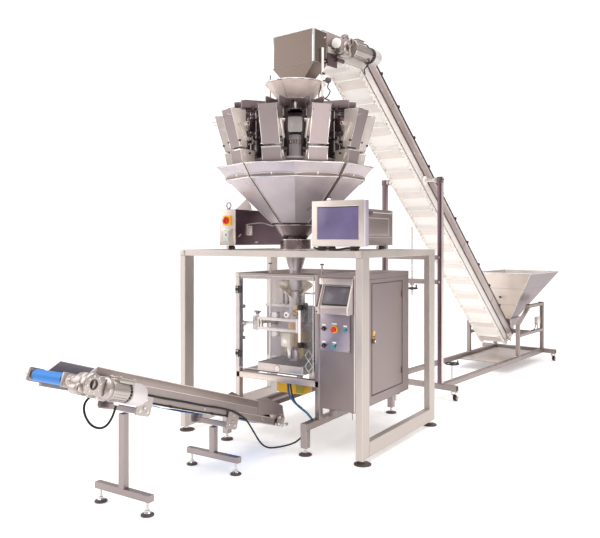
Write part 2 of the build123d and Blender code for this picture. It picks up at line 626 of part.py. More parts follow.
with BuildPart() as feed_bin:
    for shrink, mode in ((0, Mode.ADD), (SHEET, Mode.SUBTRACT)):
        with BuildSketch(placed(INFEED, 0, 5190, 1280)) as rim:
            Rectangle(840 - 2 * shrink, 1180 - 2 * shrink)
        with BuildSketch(placed(INFEED, 0, 4740, 645)) as throat:
            Rectangle(260 - 2 * shrink, 250 - 2 * shrink)
        loft([throat.sketch, rim.sketch], mode=mode)
save(feed_bin, "feed_bin")

with BuildPart() as vibratory_feeder:
    bar((-145, 145), (4545, 5000), (540, 640), base=INFEED)
    bar((-142, 142), (4500, 4997), (543, 700), base=INFEED, mode=Mode.SUBTRACT)
    bar((-80, 80), (4640, 4860), (466, 540), base=INFEED)
save(vibratory_feeder, "vibratory_feeder")

caster_sites = [(x, u) for u in CASTER_U for x in (-CASTER_X, CASTER_X)]
for index, (x, u) in enumerate(caster_sites, start=1):
    axle_u = u + WHEEL_TRAIL
    with BuildPart() as caster_fork:
        rod((x, u, 98), (x, u, BASE_Z[0] - 0.5), 26, base=INFEED)
        bar((x - 26, x + 26), (u - 30, axle_u + 16), (86, 98), base=INFEED)
        for side in mirrored(20, 26):
            bar((x + side[0], x + side[1]), (axle_u - 16, axle_u + 16), (22, 86), base=INFEED)
        rod((x - 26, axle_u, WHEEL_RADIUS), (x + 26, axle_u, WHEEL_RADIUS), 6, base=INFEED)
    save(caster_fork, f"caster_fork_{index}")
    with BuildPart() as caster_wheel:
        rod((x - 15, axle_u, WHEEL_RADIUS), (x + 15, axle_u, WHEEL_RADIUS), WHEEL_RADIUS, base=INFEED)
        rod((x - 16, axle_u, WHEEL_RADIUS), (x + 16, axle_u, WHEEL_RADIUS), 6 + RUNNING, base=INFEED,
            mode=Mode.SUBTRACT)
    save(caster_wheel, f"caster_wheel_{index}")

# ---------------------------------------------------------------- take-off conveyor
with BuildPart() as takeoff_frame:
    for side in mirrored(166, 170):
        bar(side, (177, 1872), (1, 108), base=TAKEOFF)
    for side in mirrored(142, 166):
        bar(side, (60, 2180), (-60, 0), base=TAKEOFF)
        bar(side, (-40, 59), (-40, 40), base=TAKEOFF)
        bar(side, (2181, 2276), (-40, 40), base=TAKEOFF)
    for across_y in (0, TAKEOFF_LENGTH):
        rod((-200, across_y, 0), (200, across_y, 0), 12 + RUNNING, base=TAKEOFF, mode=Mode.SUBTRACT)
    bar((-126, 126), (60, 2170), (26, 32), base=TAKEOFF)
    for depth in (300, 1100, 1900):
        bar((-142, 142), (depth, depth + 40), (-24, 25), base=TAKEOFF)
    for side in mirrored(166, 174):
        slab([(1880, 1), (2260, 41), (2230, 110), (1960, 150), (1880, 108)], TAKEOFF, side)
    for leg_y in LEG_Y:
        yoke = (leg_y - TAKEOFF_Y + 110 * math.sin(takeoff_rise)) / math.cos(takeoff_rise)
        yoke_z = TAKEOFF_Z - yoke * math.sin(takeoff_rise) - 110 * math.cos(takeoff_rise)
        tube((-166, 166), (yoke - 20, yoke + 20), (-130, -90), base=TAKEOFF)
        for side in mirrored(166, 174):
            bar(side, (yoke - 60, yoke + 60), (-135, -1), base=TAKEOFF)
        tube((-25, 25), (leg_y - 25, leg_y + 25), (135, yoke_z - 32))
        tube((-250, 250), (leg_y - 25, leg_y + 25), (90, 135))
save(takeoff_frame, "takeoff_frame")

belt_plane = Plane(
    origin=TAKEOFF.from_local_coords(Vector(-128.5, 0, 0)), x_dir=TAKEOFF.y_dir, z_dir=TAKEOFF.x_dir
)
with BuildPart() as takeoff_belt:
    with BuildSketch(belt_plane):
        with Locations((TAKEOFF_LENGTH / 2, 0)):
            SlotCenterToCenter(TAKEOFF_LENGTH, 2 * (TAKEOFF_DRUM + 0.3 + TAKEOFF_BELT))
            SlotCenterToCenter(TAKEOFF_LENGTH, 2 * (TAKEOFF_DRUM + 0.3), mode=Mode.SUBTRACT)
    extrude(amount=257)
save(takeoff_belt, "takeoff_belt")

for label, depth, reach in (("takeoff_drive_drum", 0, 300), ("takeoff_tail_drum", TAKEOFF_LENGTH, 185)):
    with BuildPart() as drum:
        rod((-128, depth, 0), (128, depth, 0), TAKEOFF_DRUM, base=TAKEOFF)
        rod((-185, depth, 0), (reach, depth, 0), 12, base=TAKEOFF)
    save(drum, label)

with BuildPart() as takeoff_gearmotor:
    rod((200, 0, 0), (375, 0, 0), 56, base=TAKEOFF)
    bar((262, 372), (0, 100), (-66, 50), base=TAKEOFF)
    rod((318, 99, -12), (318, 440, -12), 66, base=TAKEOFF)
    rod((199, 0, 0), (340, 0, 0), 12 + RUNNING, base=TAKEOFF, mode=Mode.SUBTRACT)
    rod((339, 0, 0), (380, 0, 0), 25, base=TAKEOFF, mode=Mode.SUBTRACT)
    rod((318, 250, -72), (318, 250, -92), 12, base=TAKEOFF)
save(takeoff_gearmotor, "takeoff_gearmotor")

gland_mouth = TAKEOFF.from_local_coords(Vector(318, 250, -92 - SEAM)) - LINE.origin
below_gland = TAKEOFF.from_local_coords(Vector(318, 250, -160)) - LINE.origin
cable_route = [
    tuple(gland_mouth), tuple(below_gland), (320, -2500, 668), (310, -2582, 698), (274, -2608, 775),
    (228, -2560, 832), (200, -2440, 856), (189, -2270, 822), (193, -2070, 772), (189, -1870, 704),
    (193, -1670, 642), (189, -1470, 574), (192, -1280, 520), (190, -1120, 460), (196, -1000, 382),
    (190, -900, 268), (178, -795, 148), (170, -690, 74), (196, -578, 52), (285, -484, 72), (335, -452, 110),
    (CABLE_END[0], CABLE_END[1], CABLE_END[2] - 57), (CABLE_END[0], CABLE_END[1], CABLE_END[2]),
]


def corner_radii(points):
    """The largest arc that each corner's two runs leave room for."""
    radii = []
    for before, here, after in zip(points, points[1:], points[2:]):
        arriving = Vector(*here) - Vector(*before)
        leaving = Vector(*after) - Vector(*here)
        half_turn = math.radians(arriving.get_angle(leaving)) / 2
        radii.append(0.45 * min(arriving.length, leaving.length) / math.tan(half_turn))
    return radii


cable_radii = corner_radii(cable_route)
print("cable corner radii", [round(radius) for radius in cable_radii])
with BuildPart() as takeoff_cable:
    with BuildLine() as cable_line:
        FilletPolyline(*[LINE.origin + Vector(*point) for point in cable_route], radius=cable_radii)
    with BuildSketch(Plane(origin=cable_line.line @ 0, z_dir=cable_line.line % 0)):
        Circle(CABLE_RADIUS)
    sweep()
cable_length = cable_line.wires()[0].length
print("cable length", cable_length, "tube volume", takeoff_cable.part.volume,
      "section times length", math.pi * CABLE_RADIUS ** 2 * cable_length)
save(takeoff_cable, "takeoff_cable")
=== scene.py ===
"""Looks of the vertical form fill sealer line: camera, light, materials and detailed pieces around its CAD frame."""
import json
import math

import bmesh
import bpy
from mathutils import Matrix, Vector


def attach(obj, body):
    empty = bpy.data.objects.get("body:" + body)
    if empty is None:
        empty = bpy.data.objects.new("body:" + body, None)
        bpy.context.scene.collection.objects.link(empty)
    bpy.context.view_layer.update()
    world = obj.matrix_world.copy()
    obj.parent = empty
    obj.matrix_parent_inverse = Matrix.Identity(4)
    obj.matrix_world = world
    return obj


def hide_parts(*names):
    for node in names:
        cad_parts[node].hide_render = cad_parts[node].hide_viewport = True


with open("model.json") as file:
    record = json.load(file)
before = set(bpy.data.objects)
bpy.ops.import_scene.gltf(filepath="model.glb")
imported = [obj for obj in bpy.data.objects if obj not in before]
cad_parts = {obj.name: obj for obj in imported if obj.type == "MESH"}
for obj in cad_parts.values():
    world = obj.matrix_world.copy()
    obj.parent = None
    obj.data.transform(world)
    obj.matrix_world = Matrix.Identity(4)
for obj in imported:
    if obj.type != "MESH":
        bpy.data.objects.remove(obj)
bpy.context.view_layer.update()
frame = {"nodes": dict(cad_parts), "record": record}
scene = bpy.context.scene

# ---------------------------------------------------------------- placements (pieces are set out in millimetres)
MM = 0.001
TUBE_AXIS = Vector((-0.0847, -1.5568, 0))
INFEED_TURN, INFEED_SIDE = math.radians(6), 0.045
SLOPE = math.radians(40.6)
BEND_U, BEND_Z = 1115, 3449
TAKEOFF_RISE = math.radians(17.92)
HEADS, HEAD_ANGLE, WEIGHER_TURN = 10, 36, -3.5

across = Vector((math.cos(INFEED_TURN), -math.sin(INFEED_TURN), 0))
LINE = Matrix.Translation(TUBE_AXIS)
INFEED = Matrix.Translation(TUBE_AXIS + across * INFEED_SIDE) @ Matrix.Rotation(-INFEED_TURN, 4, "Z")
TAKEOFF = Matrix.Translation(TUBE_AXIS + Vector((0, -2.618, 0.95))) @ Matrix.Rotation(-TAKEOFF_RISE, 4, "X")


def on_slope(run, depth):
    """The infeed's (depth, height) at a distance down its slope and a depth under the channel's top edge."""
    u = BEND_U + run * math.cos(SLOPE) - depth * math.sin(SLOPE)
    return u, BEND_Z - run * math.sin(SLOPE) - depth * math.cos(SLOPE)


# ---------------------------------------------------------------- camera
camera = bpy.data.objects.new("camera", bpy.data.cameras.new("camera"))
scene.collection.objects.link(camera)
camera.location = (3.3012, -6.7476, 1.75)
camera.rotation_euler = (math.radians(90), 0, math.radians(32.74))
camera.data.lens = 41.05
camera.data.sensor_width = 36
camera.data.shift_y = -0.0478
scene.camera = camera

# ---------------------------------------------------------------- take-off cable
CABLE_DIAMETER, CABLE_LENGTH = 0.014, 2.9
CABLE_ROUTE = [
    (0.318, -2.4085, 0.7854), (0.318, -2.4294, 0.7208), (0.320, -2.500, 0.668), (0.310, -2.582, 0.698),
    (0.274, -2.608, 0.775), (0.228, -2.560, 0.832), (0.200, -2.440, 0.856), (0.189, -2.270, 0.822),
    (0.193, -2.070, 0.772), (0.189, -1.870, 0.704), (0.193, -1.670, 0.642), (0.189, -1.470, 0.574),
    (0.192, -1.280, 0.520), (0.190, -1.120, 0.460), (0.196, -1.000, 0.382), (0.190, -0.900, 0.268),
    (0.178, -0.795, 0.148), (0.170, -0.690, 0.074), (0.196, -0.578, 0.052), (0.285, -0.484, 0.072),
    (0.335, -0.452, 0.110), (0.364, -0.440, 0.158), (0.364, -0.440, 0.215),
]


def free_cable(name, route, diameter):
    """A round cable along one smooth line through the air and over the floor."""
    curve = bpy.data.curves.new(name, "CURVE")
    curve.dimensions = "3D"
    curve.bevel_depth = 1.0
    curve.bevel_resolution = 4
    curve.resolution_u = 12
    curve.use_fill_caps = True
    line = curve.splines.new("NURBS")
    line.points.add(len(route) - 1)
    for point, place in zip(line.points, route):
        point.co = (*(TUBE_AXIS + Vector(place)), 1)
        point.radius = diameter / 2
    line.order_u = 3
    line.use_endpoint_u = True
    cable = bpy.data.objects.new(name, curve)
    scene.collection.objects.link(cable)
    return cable


cable = free_cable("takeoff_lead", CABLE_ROUTE, CABLE_DIAMETER)
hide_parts("takeoff_cable")
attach(cable, "line")
TUBE_AXIS + Vector(CABLE_ROUTE[0])


# ---------------------------------------------------------------- materials
class Nodes:
    """A material's node tree, with short calls for the nodes used here."""

    def __init__(self, name, colour, rough, metallic=0.0):
        self.material = bpy.data.materials.new(name)
        self.material.use_nodes = True
        self.tree = self.material.node_tree
        self.shader = self.tree.nodes["Principled BSDF"]
        self.shader.inputs["Base Color"].default_value = (*colour, 1)
        self.shader.inputs["Roughness"].default_value = rough
        self.shader.inputs["Metallic"].default_value = metallic
        self.place = self.add("ShaderNodeTexCoord").outputs["Object"]

    def add(self, kind, **settings):
        node = self.tree.nodes.new(kind)
        for key, value in settings.items():
            setattr(node, key, value)
        return node

    def join(self, source, target):
        self.tree.links.new(source, target)

    def noise(self, scale, stretch=(1, 1, 1), detail=3.0):
        """Noise between 0 and 1 in object space, drawn out along the axes with a small stretch value."""
        mapping = self.add("ShaderNodeMapping")
        mapping.inputs["Scale"].default_value = stretch
        self.join(self.place, mapping.inputs["Vector"])
        noise = self.add("ShaderNodeTexNoise")
        noise.inputs["Scale"].default_value = scale
        noise.inputs["Detail"].default_value = detail
        self.join(mapping.outputs["Vector"], noise.inputs["Vector"])
        return noise.outputs["Fac"]

    def ranged(self, value, low, high):
        """The value, which runs about 0.3 to 0.7, spread between low and high."""
        node = self.add("ShaderNodeMapRange")
        node.inputs["From Min"].default_value = 0.3
        node.inputs["From Max"].default_value = 0.7
        node.inputs["To Min"].default_value = low
        node.inputs["To Max"].default_value = high
        self.join(value, node.inputs["Value"])
        return node.outputs["Result"]

    def tint(self, value, dark, light):
        """Base colour between two colours, by a value that runs about 0.3 to 0.7."""
        ramp = self.add("ShaderNodeValToRGB")
        ramp.color_ramp.elements[0].position = 0.3
        ramp.color_ramp.elements[0].color = (*dark, 1)
        ramp.color_ramp.elements[1].position = 0.7
        ramp.color_ramp.elements[1].color = (*light, 1)
        self.join(value, ramp.inputs["Fac"])
        self.join(ramp.outputs["Color"], self.shader.inputs["Base Color"])

    def bump(self, height, strength, distance):
        node = self.add("ShaderNodeBump")
        node.inputs["Strength"].default_value = strength
        node.inputs["Distance"].default_value = distance
        self.join(height, node.inputs["Height"])
        self.join(node.outputs["Normal"], self.shader.inputs["Normal"])


def scaled(colour, share):
    return tuple(min(1.0, c * share) for c in colour)


def steel(colour, rough=0.34, grain=(1, 1, 0.04), spread=0.07, vary=0.12, bump=0.12):
    """Brushed metal: fine lines along one direction, and slow patches in its gloss and colour."""
    nodes = Nodes("steel", colour, rough, metallic=1.0)
    patches = nodes.noise(2.6, detail=4)
    lines = nodes.noise(420, stretch=grain, detail=2)
    nodes.join(nodes.ranged(patches, rough - spread, rough + spread), nodes.shader.inputs["Roughness"])
    nodes.tint(patches, scaled(colour, 1 - vary), scaled(colour, 1 + vary))
    nodes.bump(lines, bump, 0.0004)
    return nodes.material


def coated(colour, rough=0.45, scale=260, bump=0.08, vary=0.05, metallic=0.0):
    """Paint or plastic: a fine skin over the colour, with slow variation from handling."""
    nodes = Nodes("coated", colour, rough, metallic)
    patches = nodes.noise(5, detail=4)
    nodes.join(nodes.ranged(patches, rough - 0.06, rough + 0.06), nodes.shader.inputs["Roughness"])
    nodes.tint(patches, scaled(colour, 1 - vary), scaled(colour, 1 + vary))
    nodes.bump(nodes.noise(scale, detail=2), bump, 0.0006)
    return nodes.material


def clear(colour, rough=0.05):
    """Thin clear plastic: mostly a gloss over what is behind it."""
    nodes = Nodes("clear", colour, rough)
    nodes.shader.inputs["Alpha"].default_value = 0.05
    nodes.shader.inputs["IOR"].default_value = 1.5
    patches = nodes.noise(6, detail=3)
    nodes.join(nodes.ranged(patches, rough, rough + 0.05), nodes.shader.inputs["Roughness"])
    return nodes.material


ACROSS = (0.04, 1, 1)
LOOKS = {
    "stainless": steel((0.50, 0.44, 0.44), 0.33),
    "frame_paint": steel((0.60, 0.545, 0.51), 0.5, vary=0.05),
    "frame_steel": steel((0.42, 0.36, 0.35), 0.4),
    "dimple_steel": steel((0.33, 0.275, 0.275), 0.38),
    "dark_drive": coated((0.055, 0.035, 0.04), 0.4),
    "cast_silver": coated((0.47, 0.42, 0.395), 0.3, scale=180, bump=0.2, metallic=0.85),
    "aluminium": steel((0.78, 0.74, 0.73), 0.3, ACROSS),
    "clear_panel": clear((0.93, 0.95, 0.96)),
    "white_belt": coated((0.98, 0.94, 0.90), 0.5, vary=0.02),
    "blue_belt": coated((0.012, 0.20, 0.62), 0.38),
    "black_plastic": coated((0.018, 0.016, 0.017), 0.42),
    "red_plastic": coated((0.75, 0.03, 0.01), 0.28),
    "green_plastic": coated((0.01, 0.33, 0.30), 0.28),
    "film": coated((0.80, 0.76, 0.70), 0.3),
    "chrome": steel((0.72, 0.68, 0.66), 0.14, vary=0.05, spread=0.04, bump=0.04),
    "rubber": coated((0.007, 0.006, 0.006), 0.7, scale=500),
    "display": steel((0.70, 0.62, 0.57), 0.42, ACROSS, vary=0.06),
    "box_steel": steel((0.225, 0.18, 0.158), 0.42, vary=0.1),
    "funnel_steel": coated((0.86, 0.74, 0.67), 0.34, vary=0.12, metallic=0.3),
    "chute_steel": coated((0.54, 0.475, 0.50), 0.32, vary=0.1, metallic=0.5),
    "throat_steel": steel((0.30, 0.235, 0.24), 0.3, vary=0.4),
    "pull_tan": coated((0.55, 0.34, 0.15), 0.35, vary=0.1),
    "stand_steel": steel((0.37, 0.315, 0.305), 0.4),
    "bin_steel": steel((0.58, 0.51, 0.49), 0.36, vary=0.16),
    "cabinet_steel": steel((0.33, 0.275, 0.27), 0.4, vary=0.08),
    "bright_steel": steel((0.80, 0.76, 0.74), 0.22, vary=0.06),
    "light_steel": steel((0.80, 0.74, 0.70), 0.42, vary=0.08),
    "tray_steel": steel((0.32, 0.26, 0.27), 0.36, vary=0.12),
    "plum_steel": steel((0.16, 0.11, 0.13), 0.36, vary=0.15),
    "drive_dark": coated((0.035, 0.022, 0.026), 0.35, metallic=0.4),
    "drive_plum": coated((0.17, 0.12, 0.13), 0.36, metallic=0.7),
    "red_brown": coated((0.085, 0.022, 0.02), 0.45),
    "skirt_white": coated((0.80, 0.74, 0.70), 0.4, vary=0.04),
    "cleat_white": coated((0.95, 0.92, 0.88), 0.5, vary=0.03),
    "pale_cover": coated((0.66, 0.61, 0.61), 0.38, metallic=0.3),
    "pale_panel": steel((0.66, 0.575, 0.535), 0.46, ACROSS, vary=0.06),
    "cream_edge": steel((0.88, 0.80, 0.74), 0.42, vary=0.05),
    "seal_bar": steel((0.70, 0.61, 0.60), 0.4, ACROSS, vary=0.06),
    "dim_interior_shade": coated((0.42, 0.355, 0.38), 0.4, vary=0.1),
    "hood": steel((0.50, 0.43, 0.42), 0.42, ACROSS, vary=0.08),
    "belt_painted_shade": coated((0.84, 0.755, 0.70), 0.5, vary=0.03),
    "web_steel": steel((0.62, 0.54, 0.52), 0.4, vary=0.08),
    "bin_face_painted_shade": steel((0.27, 0.22, 0.235), 0.32, vary=0.22),
    "bin_face_painted_light": steel((0.74, 0.655, 0.60), 0.4, vary=0.1),
    "brown_steel": steel((0.36, 0.30, 0.28), 0.42, vary=0.1),
    "gold_steel": steel((0.86, 0.78, 0.66), 0.2, vary=0.06),
    "display_shaded_side": steel((0.62, 0.58, 0.66), 0.4, vary=0.05),
    "button_plate": steel((0.42, 0.365, 0.42), 0.38, ACROSS, vary=0.16),
    "slot_painted_shade": coated((0.115, 0.07, 0.068), 0.4, metallic=0.3),
    "groove": coated((0.09, 0.07, 0.07), 0.5),
    "yellow": coated((0.90, 0.52, 0.02), 0.35, vary=0.04),
    "pale_green": coated((0.62, 0.68, 0.60), 0.3, vary=0.06),
    "screen": coated((0.145, 0.115, 0.235), 0.22, bump=0.0, vary=0.16),
    "screen_frame": coated((0.12, 0.10, 0.12), 0.3),
    "screen_grey": coated((0.13, 0.11, 0.135), 0.2, bump=0.0, vary=0.14),
    "olive": coated((0.42, 0.36, 0.03), 0.4),
    "blue_hose": coated((0.015, 0.10, 0.22), 0.3),
    "red_ring": coated((0.42, 0.10, 0.09), 0.4),
    "film_gold": coated((0.62, 0.36, 0.12), 0.28, scale=60, bump=0.3, vary=0.2),
    "film_band": coated((0.24, 0.07, 0.10), 0.4),
    "cream_cover": coated((0.86, 0.74, 0.58), 0.42),
    "clear_edge": coated((0.80, 0.80, 0.80), 0.2),
    "foot_dark": coated((0.075, 0.055, 0.05), 0.45),
}
NODE_LOOKS = {
    "cabinet_steel": ("electrical_cabinet", "cabinet_door"), "stand_steel": ("takeoff_frame", "infeed_base"),
    "box_steel": ("discharge_box",), "funnel_steel": ("inlet_funnel",), "bin_steel": ("feed_bin",),
    "chute_steel": ("collecting_chute",), "throat_steel": ("discharge_funnel",), "pull_tan": ("film_pull_units",),
}
for look, material in LOOKS.items():
    material.name = look
node_look = {part["node"]: part["material_slot"] for part in frame["record"]["subparts"]}
node_look.update((node, look) for look, nodes in NODE_LOOKS.items() for node in nodes)
for node, piece in frame["nodes"].items():
    piece.data.materials.clear()
    piece.data.materials.append(LOOKS[node_look[node]])
cable.data.materials.append(LOOKS["rubber"])

# ---------------------------------------------------------------- mesh helpers
SHARP = math.radians(34)


def aim(start, end):
    """A placement at one point whose z runs towards another."""
    run = Vector(end) - Vector(start)
    return Matrix.Translation(Vector(start)) @ run.to_track_quat("Z", "Y").to_matrix().to_4x4()


def turn_at(point, angle, axis):
    """A turn by some degrees about an axis through a point."""
    middle = Matrix.Translation(Vector(point))
    return middle @ Matrix.Rotation(math.radians(angle), 4, axis) @ middle.inverted()


def round_trip(points):
    """Each point with the next one, and the last with the first."""
    return list(zip(points, points[1:] + points[:1]))


def circle(radius, height, count):
    return [(radius * math.cos(a), radius * math.sin(a), height)
            for a in (2 * math.pi * k / count for k in range(count))]


def bridge(solid, rows, wrap=True, close=False):
    """Faces between rows of corners; wrap goes round each row, close joins the last row to the first."""
    count = len(rows[0])
    for low, high in round_trip(rows) if close else zip(rows, rows[1:]):
        for k in range(count if wrap else count - 1):
            after = (k + 1) % count
            corners = list(dict.fromkeys((low[k], low[after], high[after], high[k])))
            if len(corners) > 2:
                solid.faces.new(corners)


def flat_face(corners):
    """A new solid that holds one face."""
    solid = bmesh.new()
    return solid, solid.faces.new([solid.verts.new(corner) for corner in corners])


def thicken(solid, face, shift):
    grown = bmesh.ops.extrude_face_region(solid, geom=[face])["geom"]
    bmesh.ops.translate(solid, vec=shift, verts=[g for g in grown if isinstance(g, bmesh.types.BMVert)])


class Piece:
    """Solids set out in millimetres in one placement, joined into one object that rides on a CAD body."""

    def __init__(self, name, place=LINE, body="line", slot=None):
        self.name, self.place, self.body, self.slot = name, place, body, slot
        self.mesh = bmesh.new()
        self.looks = []

    def add(self, solid, look, at=None):
        """Moves a finished solid into the piece."""
        if look not in self.looks:
            self.looks.append(look)
        if at is not None:
            bmesh.ops.transform(solid, matrix=at, verts=solid.verts)
        bmesh.ops.recalc_face_normals(solid, faces=solid.faces)
        for face in solid.faces:
            face.material_index = self.looks.index(look)
        carrier = bpy.data.meshes.new("carrier")
        solid.to_mesh(carrier)
        solid.free()
        self.mesh.from_mesh(carrier)
        bpy.data.meshes.remove(carrier)

    def block(self, x, y, z, look, edge=2.0, at=None):
        """A block between three pairs of limits, with rounded edges."""
        solid = bmesh.new()
        bmesh.ops.create_cube(solid, size=1)
        spans = [(min(pair), max(pair)) for pair in (x, y, z)]
        for vert in solid.verts:
            vert.co = [low if c < 0 else high for c, (low, high) in zip(vert.co, spans)]
        if edge:
            thin = min(high - low for low, high in spans)
            bmesh.ops.bevel(solid, geom=solid.edges[:], offset=min(edge, 0.4 * thin), segments=2,
                            profile=0.5, affect="EDGES")
        self.add(solid, look, at)

    def plate(self, points, span, look, axis="X", edge=1.0, at=None):
        """An outline in the two axes left over, carried along one axis between two limits."""
        order = {"X": lambda a, b, c: (c, a, b), "Y": lambda a, b, c: (a, c, b), "Z": lambda a, b, c: (a, b, c)}
        solid, face = flat_face([order[axis](*point, span[0]) for point in points])
        thicken(solid, face, Vector(order[axis](0, 0, span[1] - span[0])))
        if edge:
            bmesh.ops.bevel(solid, geom=solid.edges[:], offset=min(edge, 0.4 * abs(span[1] - span[0])),
                            segments=1, affect="EDGES")
        self.add(solid, look, at)

    def turned(self, profile, look, at=None, sides=32, close=False):
        """A body spun about z from (radius, height) points; close joins the last point to the first."""
        solid = bmesh.new()
        rings = []
        for radius, height in profile:
            if radius < 1e-6:
                rings.append([solid.verts.new((0, 0, height))] * sides)
                continue
            rings.append([solid.verts.new(corner) for corner in circle(radius, height, sides)])
        bridge(solid, rings, close=close)
        self.add(solid, look, at)

    def rod(self, start, end, radius, look, sides=16, edge=1.0):
        """A round bar with softened ends."""
        length = (Vector(end) - Vector(start)).length
        edge = min(edge, radius / 2, length / 2.5)
        profile = [(0, 0), (radius - edge, 0), (radius, edge), (radius, length - edge), (radius - edge, length),
                   (0, length)]
        self.turned(profile, look, aim(start, end), sides)

    def bolt(self, place, direction, radius, look):
        """A hexagon head on its washer."""
        at = aim(place, Vector(place) + Vector(direction))
        self.turned([(0, 0), (radius * 1.35, 0), (radius * 1.35, radius * 0.22), (0, radius * 0.22)], look, at, 16)
        self.turned([(0, radius * 0.2), (radius, radius * 0.2), (radius, radius * 0.8), (radius * 0.85, radius),
                     (0, radius)], look, at, 6)

    def wire(self, points, radius, look, sides=10, steps=6, closed=False):
        """A round wire along a smooth line through its points."""
        path = smooth_path([Vector(p) for p in points], steps, closed)
        solid = bmesh.new()
        rings, side = [], None
        for index, here in enumerate(path):
            if closed:
                along = path[(index + 1) % len(path)] - path[index - 1]
            else:
                along = path[min(index + 1, len(path) - 1)] - path[max(index - 1, 0)]
            along.normalize()
            side = (side - along * side.dot(along)) if side else along.orthogonal()
            side.normalize()
            other = along.cross(side)
            angles = [2 * math.pi * k / sides for k in range(sides)]
            rings.append([solid.verts.new(here + (side * math.cos(a) + other * math.sin(a)) * radius)
                          for a in angles])
        bridge(solid, rings, close=closed)
        if not closed:
            solid.faces.new(rings[0])
            solid.faces.new(rings[-1])
        self.add(solid, look)

    def grid(self, height, across_span, up_span, counts, look, at=None):
        """A thin sheet in (y, z) whose x is given by a function, for embossed plate."""
        solid = bmesh.new()
        rows = []
        for j in range(counts[1] + 1):
            b = up_span[0] + (up_span[1] - up_span[0]) * j / counts[1]
            row = []
            for i in range(counts[0] + 1):
                a = across_span[0] + (across_span[1] - across_span[0]) * i / counts[0]
                row.append(solid.verts.new((height(i, j), a, b)))
            rows.append(row)
        bridge(solid, rows, wrap=False)
        self.add(solid, look, at)

    def panel(self, corners, thick, look):
        """A flat sheet on some corners, carried along its normal."""
        solid, face = flat_face(corners)
        face.normal_update()
        thicken(solid, face, face.normal * thick)
        self.add(solid, look)

    def done(self, *stands_for, copies=None):
        """The finished object, or one object per placement in copies, which share one mesh."""
        bmesh.ops.scale(self.mesh, vec=(MM, MM, MM), verts=self.mesh.verts)
        for edge in self.mesh.edges:
            edge.smooth = len(edge.link_faces) == 2 and edge.calc_face_angle(0) < SHARP
        for face in self.mesh.faces:
            face.smooth = True
        mesh = bpy.data.meshes.new(self.name)
        self.mesh.to_mesh(mesh)
        self.mesh.free()
        for look in self.looks:
            mesh.materials.append(LOOKS[look])
        made = []
        for number, place in enumerate(copies or [self.place], start=1):
            name = f"{self.name}_{number}" if copies else self.name
            piece = bpy.data.objects.new(name, mesh)
            scene.collection.objects.link(piece)
            piece.matrix_world = place
            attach(piece, self.body)
            made.append(piece)
        if stands_for:
            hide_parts(*stands_for)
        return made[0]


def built(name, place=LINE, body="line", slot=None, stands_for=(), copies=None):
    """Runs the function that shapes one piece, and finishes the piece."""
    def build(shape):
        piece = Piece(name, place, body, slot)
        shape(piece)
        piece.done(*stands_for, copies=copies)
        return shape
    return build


def smooth_path(points, steps, closed=False):
    """Points along a smooth line through the given ones."""
    count = len(points)
    if steps <= 1:
        return points
    path = []
    for index in range(count if closed else count - 1):
        if closed:
            a, b, c, d = (points[(index + k) % count] for k in (-1, 0, 1, 2))
        else:
            b, c = points[index], points[index + 1]
            a = points[index - 1] if index else b * 2 - c
            d = points[index + 2] if index + 2 < count else c * 2 - b
        for step in range(steps):
            t = step / steps
            path.append(0.5 * (2 * b + (c - a) * t + (2 * a - 5 * b + 4 * c - d) * t * t
                               + (3 * b - a - 3 * c + d) * t ** 3))
    if not closed:
        path.append(points[-1])
    return path


# ---------------------------------------------------------------- multihead weigher
def head_turn(number):
    """The turn about the weigher's axis that takes a head on the x axis to its place."""
    return Matrix.Rotation(math.radians(HEAD_ANGLE * number + WEIGHER_TURN), 4, "Z")


HEAD_PLACES = [LINE @ head_turn(k) for k in range(HEADS)]


def dimples(pitch, depth, cell):
    """Rows of round dimples, each row set half a pitch across from the last."""
    def height(i, j):
        return depth * math.cos(2 * math.pi * i * cell / pitch) * math.cos(2 * math.pi * j * cell / pitch)
    return height


def embossed_front(hopper, low, top, half):
    """The outer face of a hopper: dimple plate between two bright folded edges."""
    lean = math.atan2(top[0] - low[0], top[1] - low[1])
    length = math.hypot(top[0] - low[0], top[1] - low[1])
    at = Matrix.Translation((low[0], 0, low[1])) @ Matrix.Rotation(lean, 4, "Y")
    cell = 2.6
    counts = (round(2 * (half - 4) / cell), round(length / cell))
    hopper.grid(dimples(10.4, 0.9, cell), (4 - half, half - 4), (0, length), counts, "dimple_steel", at)
    hopper.block((-3, -1.2), (4 - half, half - 4), (1, length - 1), "dimple_steel", 0.5, at)
    for side in (-1, 1):
        hopper.block((-3, 2.2), (side * (half - 5), side * half), (0, length), "bright_steel", 1, at)


